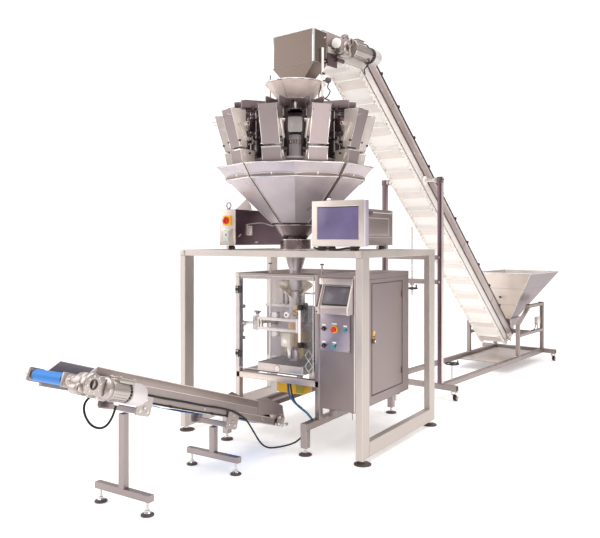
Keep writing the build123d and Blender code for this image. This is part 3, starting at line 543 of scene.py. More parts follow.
@built("feed_hopper", slot="dimple_steel", stands_for=["feed_hoppers"], copies=HEAD_PLACES)
def feed_hopper(hopper):
    half = 81
    outline = [(560, 2542), (628, 2542), (718, 2857), (575, 2857)]
    embossed_front(hopper, outline[1], outline[2], half)
    for side in (-1, 1):
        hopper.plate(outline, (side * (half - 2.5), side * half), "light_steel", "Y")
        hopper.rod((622, side * half, 2548), (622, side * (half + 12), 2548), 6, "chrome")
        lever = turn_at((600, 0, 2665), 28, "Y")
        hopper.block((588, 612), (side * (half + 2), side * (half + 6)), (2586, 2752), "light_steel", 1.5, lever)
        for edge in (588, 608):
            hopper.block((edge, edge + 4), (side * (half + 6), side * (half + 16)), (2586, 2752), "light_steel", 1,
                         lever)
        hopper.rod((562, side * half, 2742), (562, side * (half + 22), 2742), 17, "bright_steel")
        hopper.rod((562, side * (half + 20), 2742), (562, side * (half + 25), 2742), 8, "drive_dark")
        hopper.rod((640, side * half, 2592), (640, side * (half + 20), 2592), 9, "drive_dark")
        hopper.block((572, 716), (side * (half - 3), side * (half + 2)), (2853, 2860), "bright_steel", 1)
        hopper.block((690, 748), (side * (half - 8), side * (half - 5)), (2800, 2806), "chrome", 0.8)
    hopper.plate([(559, 2542), (562, 2542), (578, 2860), (575, 2860)], (3 - half, half - 3), "light_steel", "Y")
    for start, end in ((562, 594), (626, 594)):
        hopper.plate([(start, 2542), (end, 2531), (end, 2534), (start, 2545)], (4 - half, half - 4), "bright_steel",
                     "Y", 0.5)


@built("weigh_hopper", slot="dimple_steel", stands_for=["weigh_hoppers"], copies=HEAD_PLACES)
def weigh_hopper(hopper):
    half = 85
    outline = [(490, 2400), (600, 2372), (628, 2520), (480, 2520)]
    embossed_front(hopper, outline[1], outline[2], half)
    for side in (-1, 1):
        hopper.plate(outline, (side * (half - 2.5), side * half), "light_steel", "Y")
        hopper.block((478, 630), (side * (half - 3), side * (half + 3)), (2516, 2523), "bright_steel", 1)
        hopper.rod((596, side * half, 2384), (596, side * (half + 14), 2384), 6, "chrome")
        hopper.block((560, 572), (side * half, side * (half + 8)), (2384, 2500), "light_steel", 1.5,
                     turn_at((566, 0, 2440), 24, "Y"))
        hopper.rod((540, side * half, 2490), (540, side * (half + 14), 2490), 9, "drive_dark")
        hopper.block((452, 486), (side * 40, side * 58), (2484, 2514), "cast_silver", 3)
    hopper.plate([(478, 2520), (481, 2520), (493, 2400), (490, 2400)], (3 - half, half - 3), "light_steel", "Y")
    for start, end in (((492, 2401), (545, 2379)), ((598, 2374), (545, 2379))):
        hopper.plate([start, end, (end[0], end[1] + 3), (start[0], start[1] + 3)], (4 - half, half - 4),
                     "bright_steel", "Y", 0.5)
    hopper.block((628, 634), (-half, half), (2512, 2524), "bright_steel", 2)


@built("drive_unit", slot="dark_drive", stands_for=["drive_units"], copies=HEAD_PLACES)
def drive_unit(drive):
    """One head's drive: a dark casting with its motor, cranks, return springs and two bright guide posts."""
    drive.block((312, 428), (-50, 50), (2465, 2690), "drive_dark", 9)
    drive.block((324, 426), (-44, 44), (2688, 2862), "drive_plum", 9)
    drive.block((426, 432), (-38, 38), (2480, 2676), "drive_plum", 2)
    for height in (2490, 2665):
        for side in (-28, 28):
            drive.bolt((432, side, height), (1, 0, 0), 5, "chrome")
    for height in (2710, 2742, 2774, 2806):
        drive.block((424, 436), (-40, 40), (height, height + 9), "drive_dark", 2)
    for side in (-1, 1):
        drive.rod((446, side * 40, 2466), (446, side * 40, 2866), 7, "chrome")
        for height in (2478, 2610, 2780):
            drive.turned([(7, 0), (14, 0), (14, 18), (7, 18)], "drive_dark",
                         Matrix.Translation((446, side * 40, height)), 20, close=True)
        spring = []
        for step in range(23):
            spring += [(6, step * 4), (9, step * 4 + 2)]
        drive.turned([(0, 0), *spring, (0, 92)], "bright_steel", Matrix.Translation((474, side * 24, 2576)), 12)
        drive.rod((432, side * 20, 2600), (462, side * 20, 2600), 19, "cast_silver")
        drive.rod((462, side * 20, 2600), (470, side * 20, 2600), 9, "chrome")
        drive.block((464, 536), (side * 12, side * 22), (2592, 2612), "drive_dark", 3, turn_at((468, 0, 2600), 14, "Y"))
        drive.rod((534, side * 8, 2585), (534, side * 32, 2585), 12, "bright_steel")
        drive.block((432, 538), (side * 26, side * 33), (2640, 2664), "drive_plum", 3,
                    turn_at((440, 0, 2650), -8, "Y"))
        drive.rod((536, side * 20, 2662), (536, side * 36, 2662), 11, "chrome")
    drive.block((432, 500), (-27, 27), (2692, 2752), "drive_dark", 5)
    drive.block((500, 506), (-24, 24), (2696, 2748), "cast_silver", 2)
    drive.rod((506, 0, 2722), (516, 0, 2722), 9, "chrome")
    drive.block((438, 486), (-16, 16), (2756, 2800), "red_brown", 3)
    drive.wire([(436, 12, 2800), (470, 14, 2830), (480, -10, 2800), (452, -22, 2740), (440, -30, 2700)], 4,
               "drive_dark", 6, 4)


@built("feeder_tray", slot="stainless", copies=HEAD_PLACES)
def feeder_tray(tray):
    floor_line = [(200, 2906), (600, 2876), (600, 2879), (200, 2909)]
    tray.plate(floor_line, (-56, 56), "tray_steel", "Y", 0.5)
    for side in (-1, 1):
        tray.plate([(200, 2906), (600, 2876), (606, 2936), (560, 2946), (200, 2966)], (side * 55, side * 57.5),
                   "tray_steel", "Y", 0.6)
        tray.wire([(202, side * 57, 2966), (560, side * 57, 2946), (606, side * 57, 2936), (601, side * 57, 2878)],
                  2.6, "bright_steel", 8, 1)
        tray.block((300, 330), (side * 58, side * 66), (2880, 2925), "drive_plum", 3)
        tray.block((470, 500), (side * 58, side * 66), (2866, 2905), "drive_plum", 3)
    tray.block((250, 520), (-40, 40), (2868, 2878), "drive_plum", 3, turn_at((385, 0, 2873), 4.3, "Y"))


@built("weigher_centre", slot="chrome", stands_for=["weigher_column", "linear_feeders"])
def weigher_centre(centre):
    centre.turned([(0, 2441), (424, 2441), (430, 2445), (430, 2458), (426, 2462), (90, 2462), (82, 2470), (62, 2474),
                   (62, 2700)], "pale_cover", sides=72)
    centre.turned([(62, 2700), (66, 2702), (88, 2706), (88, 2722), (62, 2724)], "drive_dark", sides=72)
    centre.turned([(88, 2718), (94, 2722), (94, 2790), (92, 2792), (94, 2794), (94, 2852), (90, 2858), (0, 2858)],
                  "white_belt", sides=72)
    centre.turned([(0, 2990), (8, 2988), (186, 2924), (190, 2920), (190, 2908), (186, 2905), (0, 2905)], "chrome",
                  sides=64)
    for turn in (3, 63, 183, 243):
        angle = math.radians(turn)
        centre.rod((132 * math.cos(angle), 132 * math.sin(angle), 2460),
                   (132 * math.cos(angle), 132 * math.sin(angle), 2905), 8, "chrome")
        centre.rod((80 * math.cos(angle), 80 * math.sin(angle), 2462),
                   (80 * math.cos(angle), 80 * math.sin(angle), 2708), 9, "drive_plum")
        centre.turned([(9, 0), (18, 0), (18, 22), (9, 22)], "bright_steel",
                      Matrix.Translation((80 * math.cos(angle), 80 * math.sin(angle), 2520)), 16, close=True)
    centre.turned([(64, 2620), (74, 2622), (74, 2652), (64, 2654)], "cast_silver", sides=40, close=True)
    centre.turned([(94, 2858), (120, 2864), (120, 2884), (60, 2905), (40, 2905)], "drive_dark", sides=40)
    centre.turned([(292, 2966), (304, 2966), (304, 2978), (292, 2978)], "drive_plum", sides=64, close=True)


def polygon_point(radius, corner, height, turn=0.0):
    """A corner of the ten-sided chute, turned a little further by some degrees."""
    angle = math.radians(WEIGHER_TURN - 90 + HEAD_ANGLE * corner + turn)
    return (radius * math.cos(angle), radius * math.sin(angle), height)


@built("chute_trim", slot="stainless")
def chute_trim(trim):
    """Rolled rims and panel straps, with painted shade: dark strips behind the panel slots and dark plates in the
    scalloped gap between the ring and the chute.
    """
    for panel in range(5):
        first = 2 * panel
        for radius, height, wire, look in ((715, 2386, 6, "bright_steel"), (637, 2289, 5, "brown_steel"),
                                           (640, 2277, 7, "bright_steel")):
            start, end = (math.degrees((20 if corner == 2 else 9) / radius) for corner in (first, first + 2))
            corners = [polygon_point(radius, first, height, start), polygon_point(radius, first + 1, height),
                       polygon_point(radius, first + 2, height, -end)]
            trim.wire(corners, wire, look, 10, 1)
        for corner, sign in ((first, 1), (first + 2, -1)):
            for top, low in (((712, 2385), (636, 2290)), ((634, 2280), (218, 1898))):
                gap = 21 if corner == 2 else 10
                margin_top, margin_low = (sign * math.degrees(gap / r) for r in (top[0], low[0]))
                trim.wire([polygon_point(top[0] + 1, corner, top[1], margin_top),
                           polygon_point(low[0] + 1, corner, low[1], margin_low)], 3.0, "light_steel", 8, 1)
        # Painted shade: dark strips behind the panel slots, with a wider brown one at one slot, stand in for the shaded
        # inside of the chute seen through the gaps.
        for top, low in (((704, 2383), (628, 2291)), ((627, 2278), (210, 1899))):
            wide, look = (17, "slot_painted_shade") if first == 2 else (8, "drive_dark")
            trim.wire([polygon_point(top[0] + 6 - wide / 2, first, top[1]),
                       polygon_point(low[0] + 6 - wide / 2, first, low[1])], wide, look, 8, 1)
    # Painted shade: a dark plate with a bright edge fills each scalloped gap between the ring and the chute.
    half, rise = 190, 25
    to_flat = math.cos(math.radians(HEAD_ANGLE / 2))
    slope_in = math.atan2(78 * to_flat, 95)
    for facet in range(HEADS):
        turn = head_turn(facet)
        at = turn @ Matrix.Translation((635 * to_flat + 1, 0, 2290)) @ Matrix.Rotation(slope_in, 4, "Y")
        arch = [(half * math.cos(math.pi * k / 16), 3 + rise * math.sin(math.pi * k / 16)) for k in range(17)]
        trim.plate(arch, (0, 1.6), "brown_steel", "X", 0, at)
        trim.wire([at @ Vector((2, y, z)) for y, z in arch], 2.6, "bright_steel", 6, 1)
        trim.block((0, 4), (-6, 6), (2, rise + 7), "bright_steel", 1, at)
        trim.rod(turn @ Vector((668 * to_flat, -120, 2371)), turn @ Vector((668 * to_flat, -120, 2395)), 5, "chrome")
    for corner in range(HEADS):
        for radius, height, wire, look, sides in ((219, 1896, 6.5, "black_plastic", 10),
                                                  (216, 1884, 4, "bright_steel", 8), (99, 1757, 4, "bright_steel", 8)):
            trim.wire([polygon_point(radius, corner + k, height) for k in (0, 1)], wire, look, sides, 1)
    for height in (1754, 1668):
        trim.turned([(140, height - 3), (145, height - 1), (145, height + 5), (140, height + 7)], "bright_steel",
                    sides=60, close=True)


# ---------------------------------------------------------------- infeed conveyor
FAR_SIDE, NEAR_SIDE, WEB_DEEP, SKIRT_DEEP = -250, 150, 134, 225
HEAD, HEAD_RISE, BELT_DEPTH = (370, 3510), 3655, 145
TAIL_RUN, BELT_IN, BELT_OUT, WALL_OUT, CLEAT_OUT = 4500, 80.2, 85, 112, 122
CLEAT_PITCH, WAVE_PITCH, WALL_STEP = 322, 60, 10
CASTER_X, CASTER_U, RAIL_X = 520, (2040, 5230), 355


def beside(side, reach):
    """An x at a distance out from the near (1) or far (-1) side frame's inner face."""
    return NEAR_SIDE + reach if side > 0 else FAR_SIDE - reach


def slope_meets(height, depth):
    """Where the sloping line at a depth under the channel's top reaches a height."""
    u, z = on_slope(0, depth)
    return u - (height - z) / math.tan(SLOPE), height


def belt_stations(step):
    """Points round the belt's centre line with the direction out of the loop at each: (point, outward)."""
    tail = Vector(on_slope(TAIL_RUN, BELT_DEPTH))
    bend, head = Vector(slope_meets(HEAD[1], BELT_DEPTH)), Vector(HEAD)
    up, out = Vector((0, 1)), Vector((math.sin(SLOPE), math.cos(SLOPE)))
    stations = []

    def run(start, end, outward):
        count = max(2, round((end - start).length / step))
        for k in range(1, count):
            stations.append((start.lerp(end, k / count), outward))

    def arc(centre, first, last, count):
        for k in range(count + 1):
            angle = math.radians(first + (last - first) * k / count)
            stations.append((centre, Vector((math.cos(angle), math.sin(angle)))))

    tilt = math.degrees(SLOPE)
    arc(head, 270, 90, 24)
    run(head, bend, up)
    arc(bend, 90, 90 - tilt, 6)
    run(bend, tail, out)
    arc(tail, 90 - tilt, -90 - tilt, 24)
    run(tail, bend, -out)
    stations.append((bend, -(up + out).normalized() / math.cos(SLOPE / 2)))
    run(bend, head, -up)
    return stations


def add_band(piece, stations, section, look):
    """Carries a four-cornered section, given by station as (x, outward) corners, round the closed loop."""
    solid = bmesh.new()
    rings, length = [], 0.0
    last = None
    for centre, outward in stations:
        middle = centre + outward * BELT_OUT
        length += (middle - last).length if last else 0
        last = middle
        ring = []
        for x, reach in section(length):
            point = centre + outward * reach
            ring.append(solid.verts.new((x, point.x, point.y)))
        rings.append(ring)
    bridge(solid, rings, close=True)
    piece.add(solid, look)


@built("infeed_belt_cleated", INFEED, slot="white_belt", stands_for=["infeed_belt"])
def infeed_belt(belt):
    stations = belt_stations(WALL_STEP)
    flat = ((-230, BELT_IN), (137, BELT_IN), (137, BELT_OUT), (-230, BELT_OUT))
    add_band(belt, stations, lambda length: flat, "white_belt")
    for side in (-1, 1):
        def wall(s, side=side):
            x = (123 if side > 0 else -216) + side * 14 * math.sin(2 * math.pi * s / WAVE_PITCH)
            return ((x - 1.6, BELT_OUT - 1), (x + 1.6, BELT_OUT - 1), (x + 1.6, WALL_OUT), (x - 1.6, WALL_OUT))
        add_band(belt, stations, wall, "white_belt")
    travelled, last = CLEAT_PITCH / 2, None
    for centre, outward in stations:
        point = centre + outward * BELT_OUT
        travelled += (point - last).length if last else 0
        last = point
        if travelled < CLEAT_PITCH:
            continue
        travelled -= CLEAT_PITCH
        along = Vector((outward.y, -outward.x)).normalized()
        normal = outward.normalized()
        at = Matrix(((1, 0, 0, 0), (0, along.x, normal.x, centre.x), (0, along.y, normal.y, centre.y), (0, 0, 0, 1)))
        # Painted shade: on the return run, two darker strips before each cleat paint the shading between cleats onto
        # the belt. The darker strip lies further from the cleat.
        for low, high in ((-150, -96), (-96, -38)):
            if -0.2 < outward.normalized().dot(Vector((math.sin(SLOPE), math.cos(SLOPE)))) < 0.99:
                continue
            belt.plate([(low, BELT_OUT - 0.5), (high, BELT_OUT - 0.5), (high, BELT_OUT + 0.6), (low, BELT_OUT + 0.6)],
                       (-204, 104), "belt_painted_shade" if low < -100 else "skirt_white", "X", 0, at)
        belt.plate([(-40, BELT_OUT - 1), (40, BELT_OUT - 1), (10, BELT_OUT + 12), (3, CLEAT_OUT), (-3, CLEAT_OUT)],
                   (-206, 106), "cleat_white", "X", 0.8, at)


def slope_turn():
    """A placement whose y runs down the slope and whose z stands out of it, from the bend at the channel's top."""
    return Matrix.Translation((0, BEND_U, BEND_Z)) @ Matrix.Rotation(-SLOPE, 4, "X")


@built("infeed_channel", INFEED, slot="stainless", stands_for=["infeed_side_frames"])
def infeed_channel(sides):
    """Both side frames: a steel channel with a black guard strip and knobs above a white skirt."""
    on = slope_turn()
    tail_end = TAIL_RUN + 130
    steel_line = [on_slope(tail_end, 0), slope_meets(HEAD_RISE, 0), (130, HEAD_RISE), (130, HEAD_RISE - WEB_DEEP),
                  slope_meets(HEAD_RISE - WEB_DEEP, WEB_DEEP), on_slope(tail_end, WEB_DEEP)]
    skirt_low = HEAD_RISE - SKIRT_DEEP
    skirt_line = [on_slope(TAIL_RUN + 60, WEB_DEEP + 6), slope_meets(HEAD_RISE - WEB_DEEP - 6, WEB_DEEP + 6),
                  (240, HEAD_RISE - WEB_DEEP - 6), (240, skirt_low), slope_meets(skirt_low, SKIRT_DEEP),
                  on_slope(TAIL_RUN + 60, SKIRT_DEEP)]
    bend_run = (Vector(slope_meets(HEAD_RISE, 0)) - Vector((BEND_U, BEND_Z))).length
    for side in (-1, 1):
        sides.plate(steel_line, (beside(side, 0), beside(side, 4)), "web_steel")
        sides.plate(skirt_line, (beside(side, -5), beside(side, 0)), "skirt_white")
        sides.block((beside(side, 3), beside(side, 14)), (-bend_run, tail_end), (-WEB_DEEP - 4, -WEB_DEEP),
                    "drive_plum", 1, on)
        sides.block((beside(side, -2), beside(side, 17)), (-bend_run, tail_end), (-19, 3), "black_plastic", 4, on)
        sides.block((beside(side, 3), beside(side, 14)), (-bend_run, tail_end), (-26, -21), "bright_steel", 1, on)
        for run in range(20, 4421, 440):
            at = on @ Matrix.Translation((beside(side, 6), run, -4))
            sides.turned([(0, 0), (15, 0), (19, 5), (19, 20), (14, 30), (8, 34), (0, 34)], "black_plastic", at, 10)
            sides.bolt((beside(side, 4), *on_slope(run + 120, 104)), (side, 0, 0), 7, "chrome")
        for run in (380, 1500, 2620, 3740):
            sides.plate([on_slope(run, 4), on_slope(run + 3, 4), on_slope(run + 3, WEB_DEEP), on_slope(run, WEB_DEEP)],
                        (beside(side, 3), beside(side, 6)), "drive_plum", edge=0.3)
        for u, z in (HEAD, on_slope(TAIL_RUN, BELT_DEPTH)):
            sides.block((beside(side, 4), beside(side, 14)), (u - 52, u + 52), (z - 52, z + 52), "cast_silver", 6)
            sides.turned([(16, 0), (38, 0), (40, 4), (34, 22), (24, 26), (16, 26)], "cast_silver",
                         aim((beside(side, 13), u, z), (beside(side, 50), u, z)), 28, close=True)
            for a in (-36, 36):
                for b in (-36, 36):
                    sides.bolt((beside(side, 14), u + a, z + b), (side, 0, 0), 7, "chrome")
    for run in (200, 1300, 2400, 3500, 4300):
        sides.rod((FAR_SIDE + 1, *on_slope(run, 150)), (NEAR_SIDE - 1, *on_slope(run, 150)), 11, "chrome")
    for side in (-1, 1):
        end = side * 329
        sides.rod((beside(side, 3), 2040, 2420), (end, 2040, 2420), 20, "chrome", 24)
        sides.turned([(20, 0), (46, 0), (50, 6), (50, 12), (20, 14)], "white_belt",
                     aim((beside(side, 4), 2040, 2420), (end, 2040, 2420)), 32, close=True)
        sides.turned([(20, 0), (32, 2), (32, 24), (20, 26)], "cast_silver",
                     aim((end - side * 30, 2040, 2420), (end, 2040, 2420)), 28, close=True)
    tail_mouth = on_slope(TAIL_RUN + 128, 0)
    sides.plate([tail_mouth, (tail_mouth[0] + 4, tail_mouth[1]), on_slope(TAIL_RUN + 132, 60),
                 on_slope(TAIL_RUN + 128, 60)], (FAR_SIDE, NEAR_SIDE), "stainless")


def add_motor(piece, start, end, radius, terminal, ribs=18, band=True):
    """A finned motor along a line: flanges, ribbed barrel, dark band, pale fan cover and terminal box."""
    at = aim(start, end)
    length = (Vector(end) - Vector(start)).length
    piece.turned([(0, 0), (radius * 1.12, 0), (radius * 1.16, 4), (radius * 1.16, 14), (radius * 1.02, 20),
                  (radius * 0.96, 34), (0, 34)], "cast_silver", at, 48)
    piece.turned([(0, 32), (radius * 0.9, 32), (radius * 0.9, length * 0.68), (0, length * 0.68)], "cast_silver", at,
                 40)
    for rib in range(ribs):
        spin = Matrix.Rotation(2 * math.pi * rib / ribs, 4, "Z")
        piece.block((radius * 0.86, radius), (-2.4, 2.4), (36, length * 0.66), "cast_silver", 1, at @ spin)
    if band:
        piece.turned([(radius * 0.9, length * 0.66), (radius * 1.04, length * 0.67), (radius * 1.04, length * 0.73),
                      (radius * 0.9, length * 0.74)], "black_plastic", at, 40, close=True)
    piece.turned([(0, length * 0.72), (radius, length * 0.72), (radius * 1.02, length * 0.75),
                  (radius * 1.02, length * 0.95), (radius * 0.92, length * 0.99), (radius * 0.6, length),
                  (0, length)], "pale_cover", at, 48)
    x, y, z = terminal
    piece.block(x, y, z, "cast_silver", 9)
    lid_z = (max(z), max(z) + 7)
    piece.block((x[0] - 3, x[1] + 3), (y[0] - 3, y[1] + 3), lid_z, "cast_silver", 3)
    for a in x:
        for b in y:
            inward = (8 if a == x[0] else -8, 8 if b == y[0] else -8)
            piece.bolt((a + inward[0], b + inward[1], lid_z[1]), (0, 0, 1), 3.5, "chrome")


@built("infeed_gearmotor_cast", INFEED, slot="cast_silver", stands_for=["infeed_gearmotor"])
def infeed_gearmotor(drive):
    drive.block((190, 276), (300, 452), (3436, 3606), "cast_silver", 26)
    drive.block((196, 282), (258, 330), (3452, 3592), "cast_silver", 22)
    drive.block((196, 262), (340, 440), (3598, 3630), "cast_silver", 12)
    drive.turned([(0, 0), (30, 0), (34, 5), (34, 14), (0, 16)], "cast_silver", aim((240, 372, 3626), (240, 372, 3642)),
                 36)
    drive.block((152, 168), (208, 352), (3342, 3462), "drive_plum", 5)
    drive.block((166, 190), (330, 440), (3400, 3436), "drive_plum", 5)
    for reach, u, z, size in ((276, 352, 3514, 56), (270, 420, 3582, 40)):
        at = aim((reach - 2, u, z), (reach + 24, u, z))
        drive.turned([(0, 0), (size, 0), (size, 8), (size * 0.9, 14), (size * 0.6, 16), (size * 0.5, 5), (0, 5)],
                     "cast_silver", at, 40)
        drive.turned([(0, 5.5), (size * 0.46, 5.5), (size * 0.46, 8), (0, 8)], "red_brown", at, 32)
        for k in range(6):
            angle = math.radians(60 * k + 20)
            drive.bolt((reach + 11, u + size * 0.76 * math.cos(angle), z + size * 0.76 * math.sin(angle)), (1, 0, 0),
                       4.5, "chrome")
    for z in (3450, 3480, 3550, 3585):
        drive.block((190, 284), (290, 300), (z, z + 8), "drive_plum", 3)
    for radius, u in ((84, 446), (90, 458), (82, 470)):
        drive.turned([(0, 0), (radius, 0), (radius, 8), (0, 8)], "cast_silver", aim((236, u, 3535), (236, u + 8, 3535)),
                     48)
    drive.turned([(0, 0), (34, 0), (44, 10), (44, 34), (30, 42), (0, 42)], "white_belt",
                 aim((238, 262, 3540), (238, 220, 3540)), 32)
    drive.turned([(28, 0), (50, 0), (50, 8), (28, 8)], "cast_silver", aim((238, 270, 3540), (238, 262, 3540)), 32,
                 close=True)
    drive.rod((290, 370, 3460), (304, 370, 3460), 15, "chrome")
    add_motor(drive, (240, 450, 3535), (240, 908, 3535), 75, ((203, 277), (520, 640), (3596, 3634)))
    drive.wire([(262, 640, 3618), (286, 690, 3600), (292, 700, 3520), (270, 720, 3440), (200, 760, 3410),
                (166, 820, 3380)], 6, "drive_dark", 8, 5)


@built("discharge_box_trim", INFEED, slot="stainless")
def discharge_trim(trim):
    far, near, front, back, low, top = -250, 220, -75, 115, 3318, 3607
    for x, out in ((near, 1), (far, -1)):
        trim.block((x + out, x - 16 * out), (front - 1.2, front), (low, top), "bright_steel", 0.5)
        trim.block((x, x + 1.2 * out), (front, front + 16), (low, top), "bright_steel", 0.5)
        trim.rod((x, front, low), (x, front, top), 4, "bright_steel")
    rim, mouth = ([(far, front, z), (near, front, z), (near, back, z), (far, back, z)] for z in (top, low - 1))
    for start, end in round_trip(rim):
        trim.rod(start, end, 4, "bright_steel", 10)
    outlet = [(-115, -60, 3166), (85, -60, 3166), (85, 70, 3166), (-115, 70, 3166)]
    for start, end in [*zip(mouth, outlet), *round_trip(mouth), *round_trip(outlet)]:
        trim.rod(start, end, 2.6, "brown_steel", 8)
    trim.block((221, 234), (96, 110), (3330, 3372), "drive_dark", 3)
    for z in (3345, 3560):
        trim.bolt((220, 92, z), (1, 0, 0), 7, "chrome")


@built("infeed_base_trim", INFEED, slot="frame_steel")
def infeed_base_trim(trim):
    """Clamps, jack nut, end plugs and pads of the infeed's stand."""
    for side in (-1, 1):
        x = side * RAIL_X
        trim.block((x - 31, x + 31), (2009, 2071), (2386, 2446), "drive_plum", 6)
        trim.block((x - 26, x + 26), (2014, 2066), (2440, 2450), "black_plastic", 4)
        for z in (2400, 2432):
            trim.bolt((x + side * 31, 2040, z), (side, 0, 0), 8, "chrome")
        for z in (1265, 1535):
            trim.bolt((x, 2013, z + 25), (0, -1, 0), 8, "chrome")
        # Painted shade and light: a dark sheet over each post's front face and a light sheet over its outer side.
        trim.block((x - 24, x + 24), (2013.4, 2015), (175, 2384), "plum_steel", 0.6)
        trim.block((side * 379.5, side * 381), (2017, 2063), (175, 2384), "light_steel", 0.6)
        for u in CASTER_U:
            trim.block((side * 552, side * 556), (u - 27, u + 27), (115, 167), "black_plastic", 3)
            trim.block((side * 494, side * 546), (u - 32, u + 32), (108, 114), "chrome", 2)
        for u in (4300, 5230):
            trim.block((x - 32, x + 32), (u - 32, u + 32), (170, 176), "chrome", 2)
        trim.bolt((x, 4300, 600), (0, 0, 1), 8, "chrome")
        for u in (4700, 5180):
            trim.block((x - 30, x + 30), (u - 34, u + 34), (845, 852), "black_plastic", 3)
    trim.block((-318, 318), (3902, 5148), (129.5, 132), "light_steel", 1)
    trim.turned([(12, 0), (26, 0), (26, 34), (20, 44), (12, 44)], "cast_silver",
                Matrix.Translation((0, 2040, 1584)), 6, close=True)
    trim.turned([(12, 0), (24, 0), (24, 20), (12, 22)], "cast_silver", Matrix.Translation((0, 2040, 1244)), 24,
                close=True)


def make_handwheel(name, body, node, centre, radius, spindle, spokes=3):
    """A dished black handwheel on its bright screw."""
    wheel = Piece(name, INFEED, body, "black_plastic")
    x, u, z = centre
    wheel.wire([(x + a, u + b, z) for a, b, _ in circle(radius, z, 24)], 9, "black_plastic", 12, 2, closed=True)
    wheel.turned([(0, -14), (16, -14), (22, -4), (22, 6), (14, 14), (0, 14)], "black_plastic",
                 Matrix.Translation(centre), 24)
    for k in range(spokes):
        angle = 2 * math.pi * k / spokes + 0.4
        wheel.wire([(x, u, z + 2), (x + radius * 0.5 * math.cos(angle), u + radius * 0.5 * math.sin(angle), z - 6),
                    (x + radius * math.cos(angle), u + radius * math.sin(angle), z)], 7, "black_plastic", 8, 3)
    wheel.rod((x + radius * 0.96, u, z), (x + radius * 0.96, u, z + 44), 8, "black_plastic")
    low, high, thick = spindle
    threads = []
    for k in range(int((high - low) / 16)):
        threads += [(thick, k * 16), (thick, k * 16 + 9), (thick - 1.6, k * 16 + 12)]
    wheel.turned([(0, 0), *threads, (thick, high - low), (0, high - low)], "chrome",
                 Matrix.Translation((x, u, low)), 16)
    wheel.done(node)


make_handwheel("stand_wheel", "stand_handwheel", "stand_handwheel", (0, 2040, 1206), 56, (1132, 1908, 10))
make_handwheel("stabiliser_wheel", "stabiliser_handwheel", "stabiliser_handwheel", (RAIL_X, 2320, 352), 74,
               (172, 356, 9))


def make_casters():
    """Bright swivel housings and hub caps of the four casters."""
    sites = [(x, u) for u in CASTER_U for x in (-CASTER_X, CASTER_X)]
    for number, (x, u) in enumerate(sites, start=1):
        axle = u + 32
        fork = Piece(f"caster_housing_{number}", INFEED, f"caster_fork_{number}", "chrome")
        for side in (-1, 1):
            cheek = [(axle - 15, 24), (axle + 15, 24), (axle + 20, 60), (axle + 20, 92), (u - 30, 92), (u - 30, 84),
                     (axle - 20, 60)]
            fork.plate(cheek, (x + side * 24.5, x + side * 28), "bright_steel", "X", 0.8)
            fork.rod((x + side * 24, axle, 37.5), (x + side * 34, axle, 37.5), 10, "cast_silver", 6)
        fork.turned([(0, 84), (34, 84), (38, 90), (38, 99), (30, 106), (0, 106)], "bright_steel",
                    Matrix.Translation((x, u, 0)), 28)
        fork.done()
        wheel = Piece(f"caster_hub_{number}", INFEED, f"caster_wheel_{number}", "rubber")
        for side in (-1, 1):
            wheel.turned([(7, 0), (25, 0), (26, 1.2), (24, 2.4), (7, 2.4)], "cast_silver",
                         aim((x + side * 15.5, axle, 37.5), (x + side * 20, axle, 37.5)), 28, close=True)
        wheel.done()


make_casters()


@built("feed_bin_trim", INFEED, slot="stainless")
def bin_trim(trim):
    """The feed bin's folded rim, corner seams, weld lines and its adjusting knob."""
    rim = [(-420, 4600, 1280), (420, 4600, 1280), (420, 5780, 1280), (-420, 5780, 1280)]
    throat = [(-130, 4615, 645), (130, 4615, 645), (130, 4865, 645), (-130, 4865, 645)]
    for start, end in round_trip(rim):
        trim.rod(start, end, 7, "bright_steel", 12)
    for start, end in round_trip(throat):
        trim.rod(start, end, 4, "bright_steel", 8)
    for start, end in zip(rim, throat):
        trim.rod(start, end, 3.2, "bright_steel", 8)
    for share in (0.34, 0.7):
        ring = [Vector(a).lerp(Vector(b), share) for a, b in zip(rim, throat)]
        for start, end in round_trip(ring):
            trim.rod(start, end, 1.6, "drive_plum", 6)
    # Painted light and shade: thin sheets over two of the bin's faces, the front lighter and the side darker, as copies
    # of one steel.
    for k, look in ((0, "bin_face_painted_light"), (1, "bin_face_painted_shade")):
        corners = [Vector(c) for c in (rim[k], rim[(k + 1) % 4], throat[(k + 1) % 4], throat[k])]
        out = (corners[1] - corners[0]).cross(corners[3] - corners[0]).normalized()
        middle = sum(corners, Vector()) / 4
        out = out if out.dot(middle - Vector((0, 5190, 1000))) > 0 else -out
        trim.panel([c.lerp(middle, 0.012) + out * 0.6 for c in corners], 1.0, look)
    front = sum((Vector(rim[k]).lerp(Vector(throat[k]), 0.55) for k in (0, 1)), Vector()) / 2
    trim.rod(front, front + Vector((0, -46, 12)), 6, "chrome")
    trim.rod(front + Vector((0, -40, 10)), front + Vector((0, -66, 17)), 15, "black_plastic")
    trim.block((330, 380), (4990, 5100), (540, 645), "light_steel", 6)
    trim.block((348, 362), (5040, 5070), (470, 545), "light_steel", 3)
    trim.wire([(355, 5000, 560), (352, 4960, 500), (355, 4900, 476), (355, 4800, 474)], 6, "drive_dark", 8, 5)
    for u in (4680, 4820):
        for side in (-1, 1):
            trim.rod((side * 62, u, 466), (side * 62, u, 540), 16, "drive_dark")
    trim.block((-60, 60), (4690, 4810), (478, 536), "drive_dark", 10)
    trim.turned([(0, 0), (42, 0), (46, 8), (46, 84), (38, 96), (0, 96)], "drive_plum",
                aim((0, 4640, 505), (0, 4540, 505)), 32)


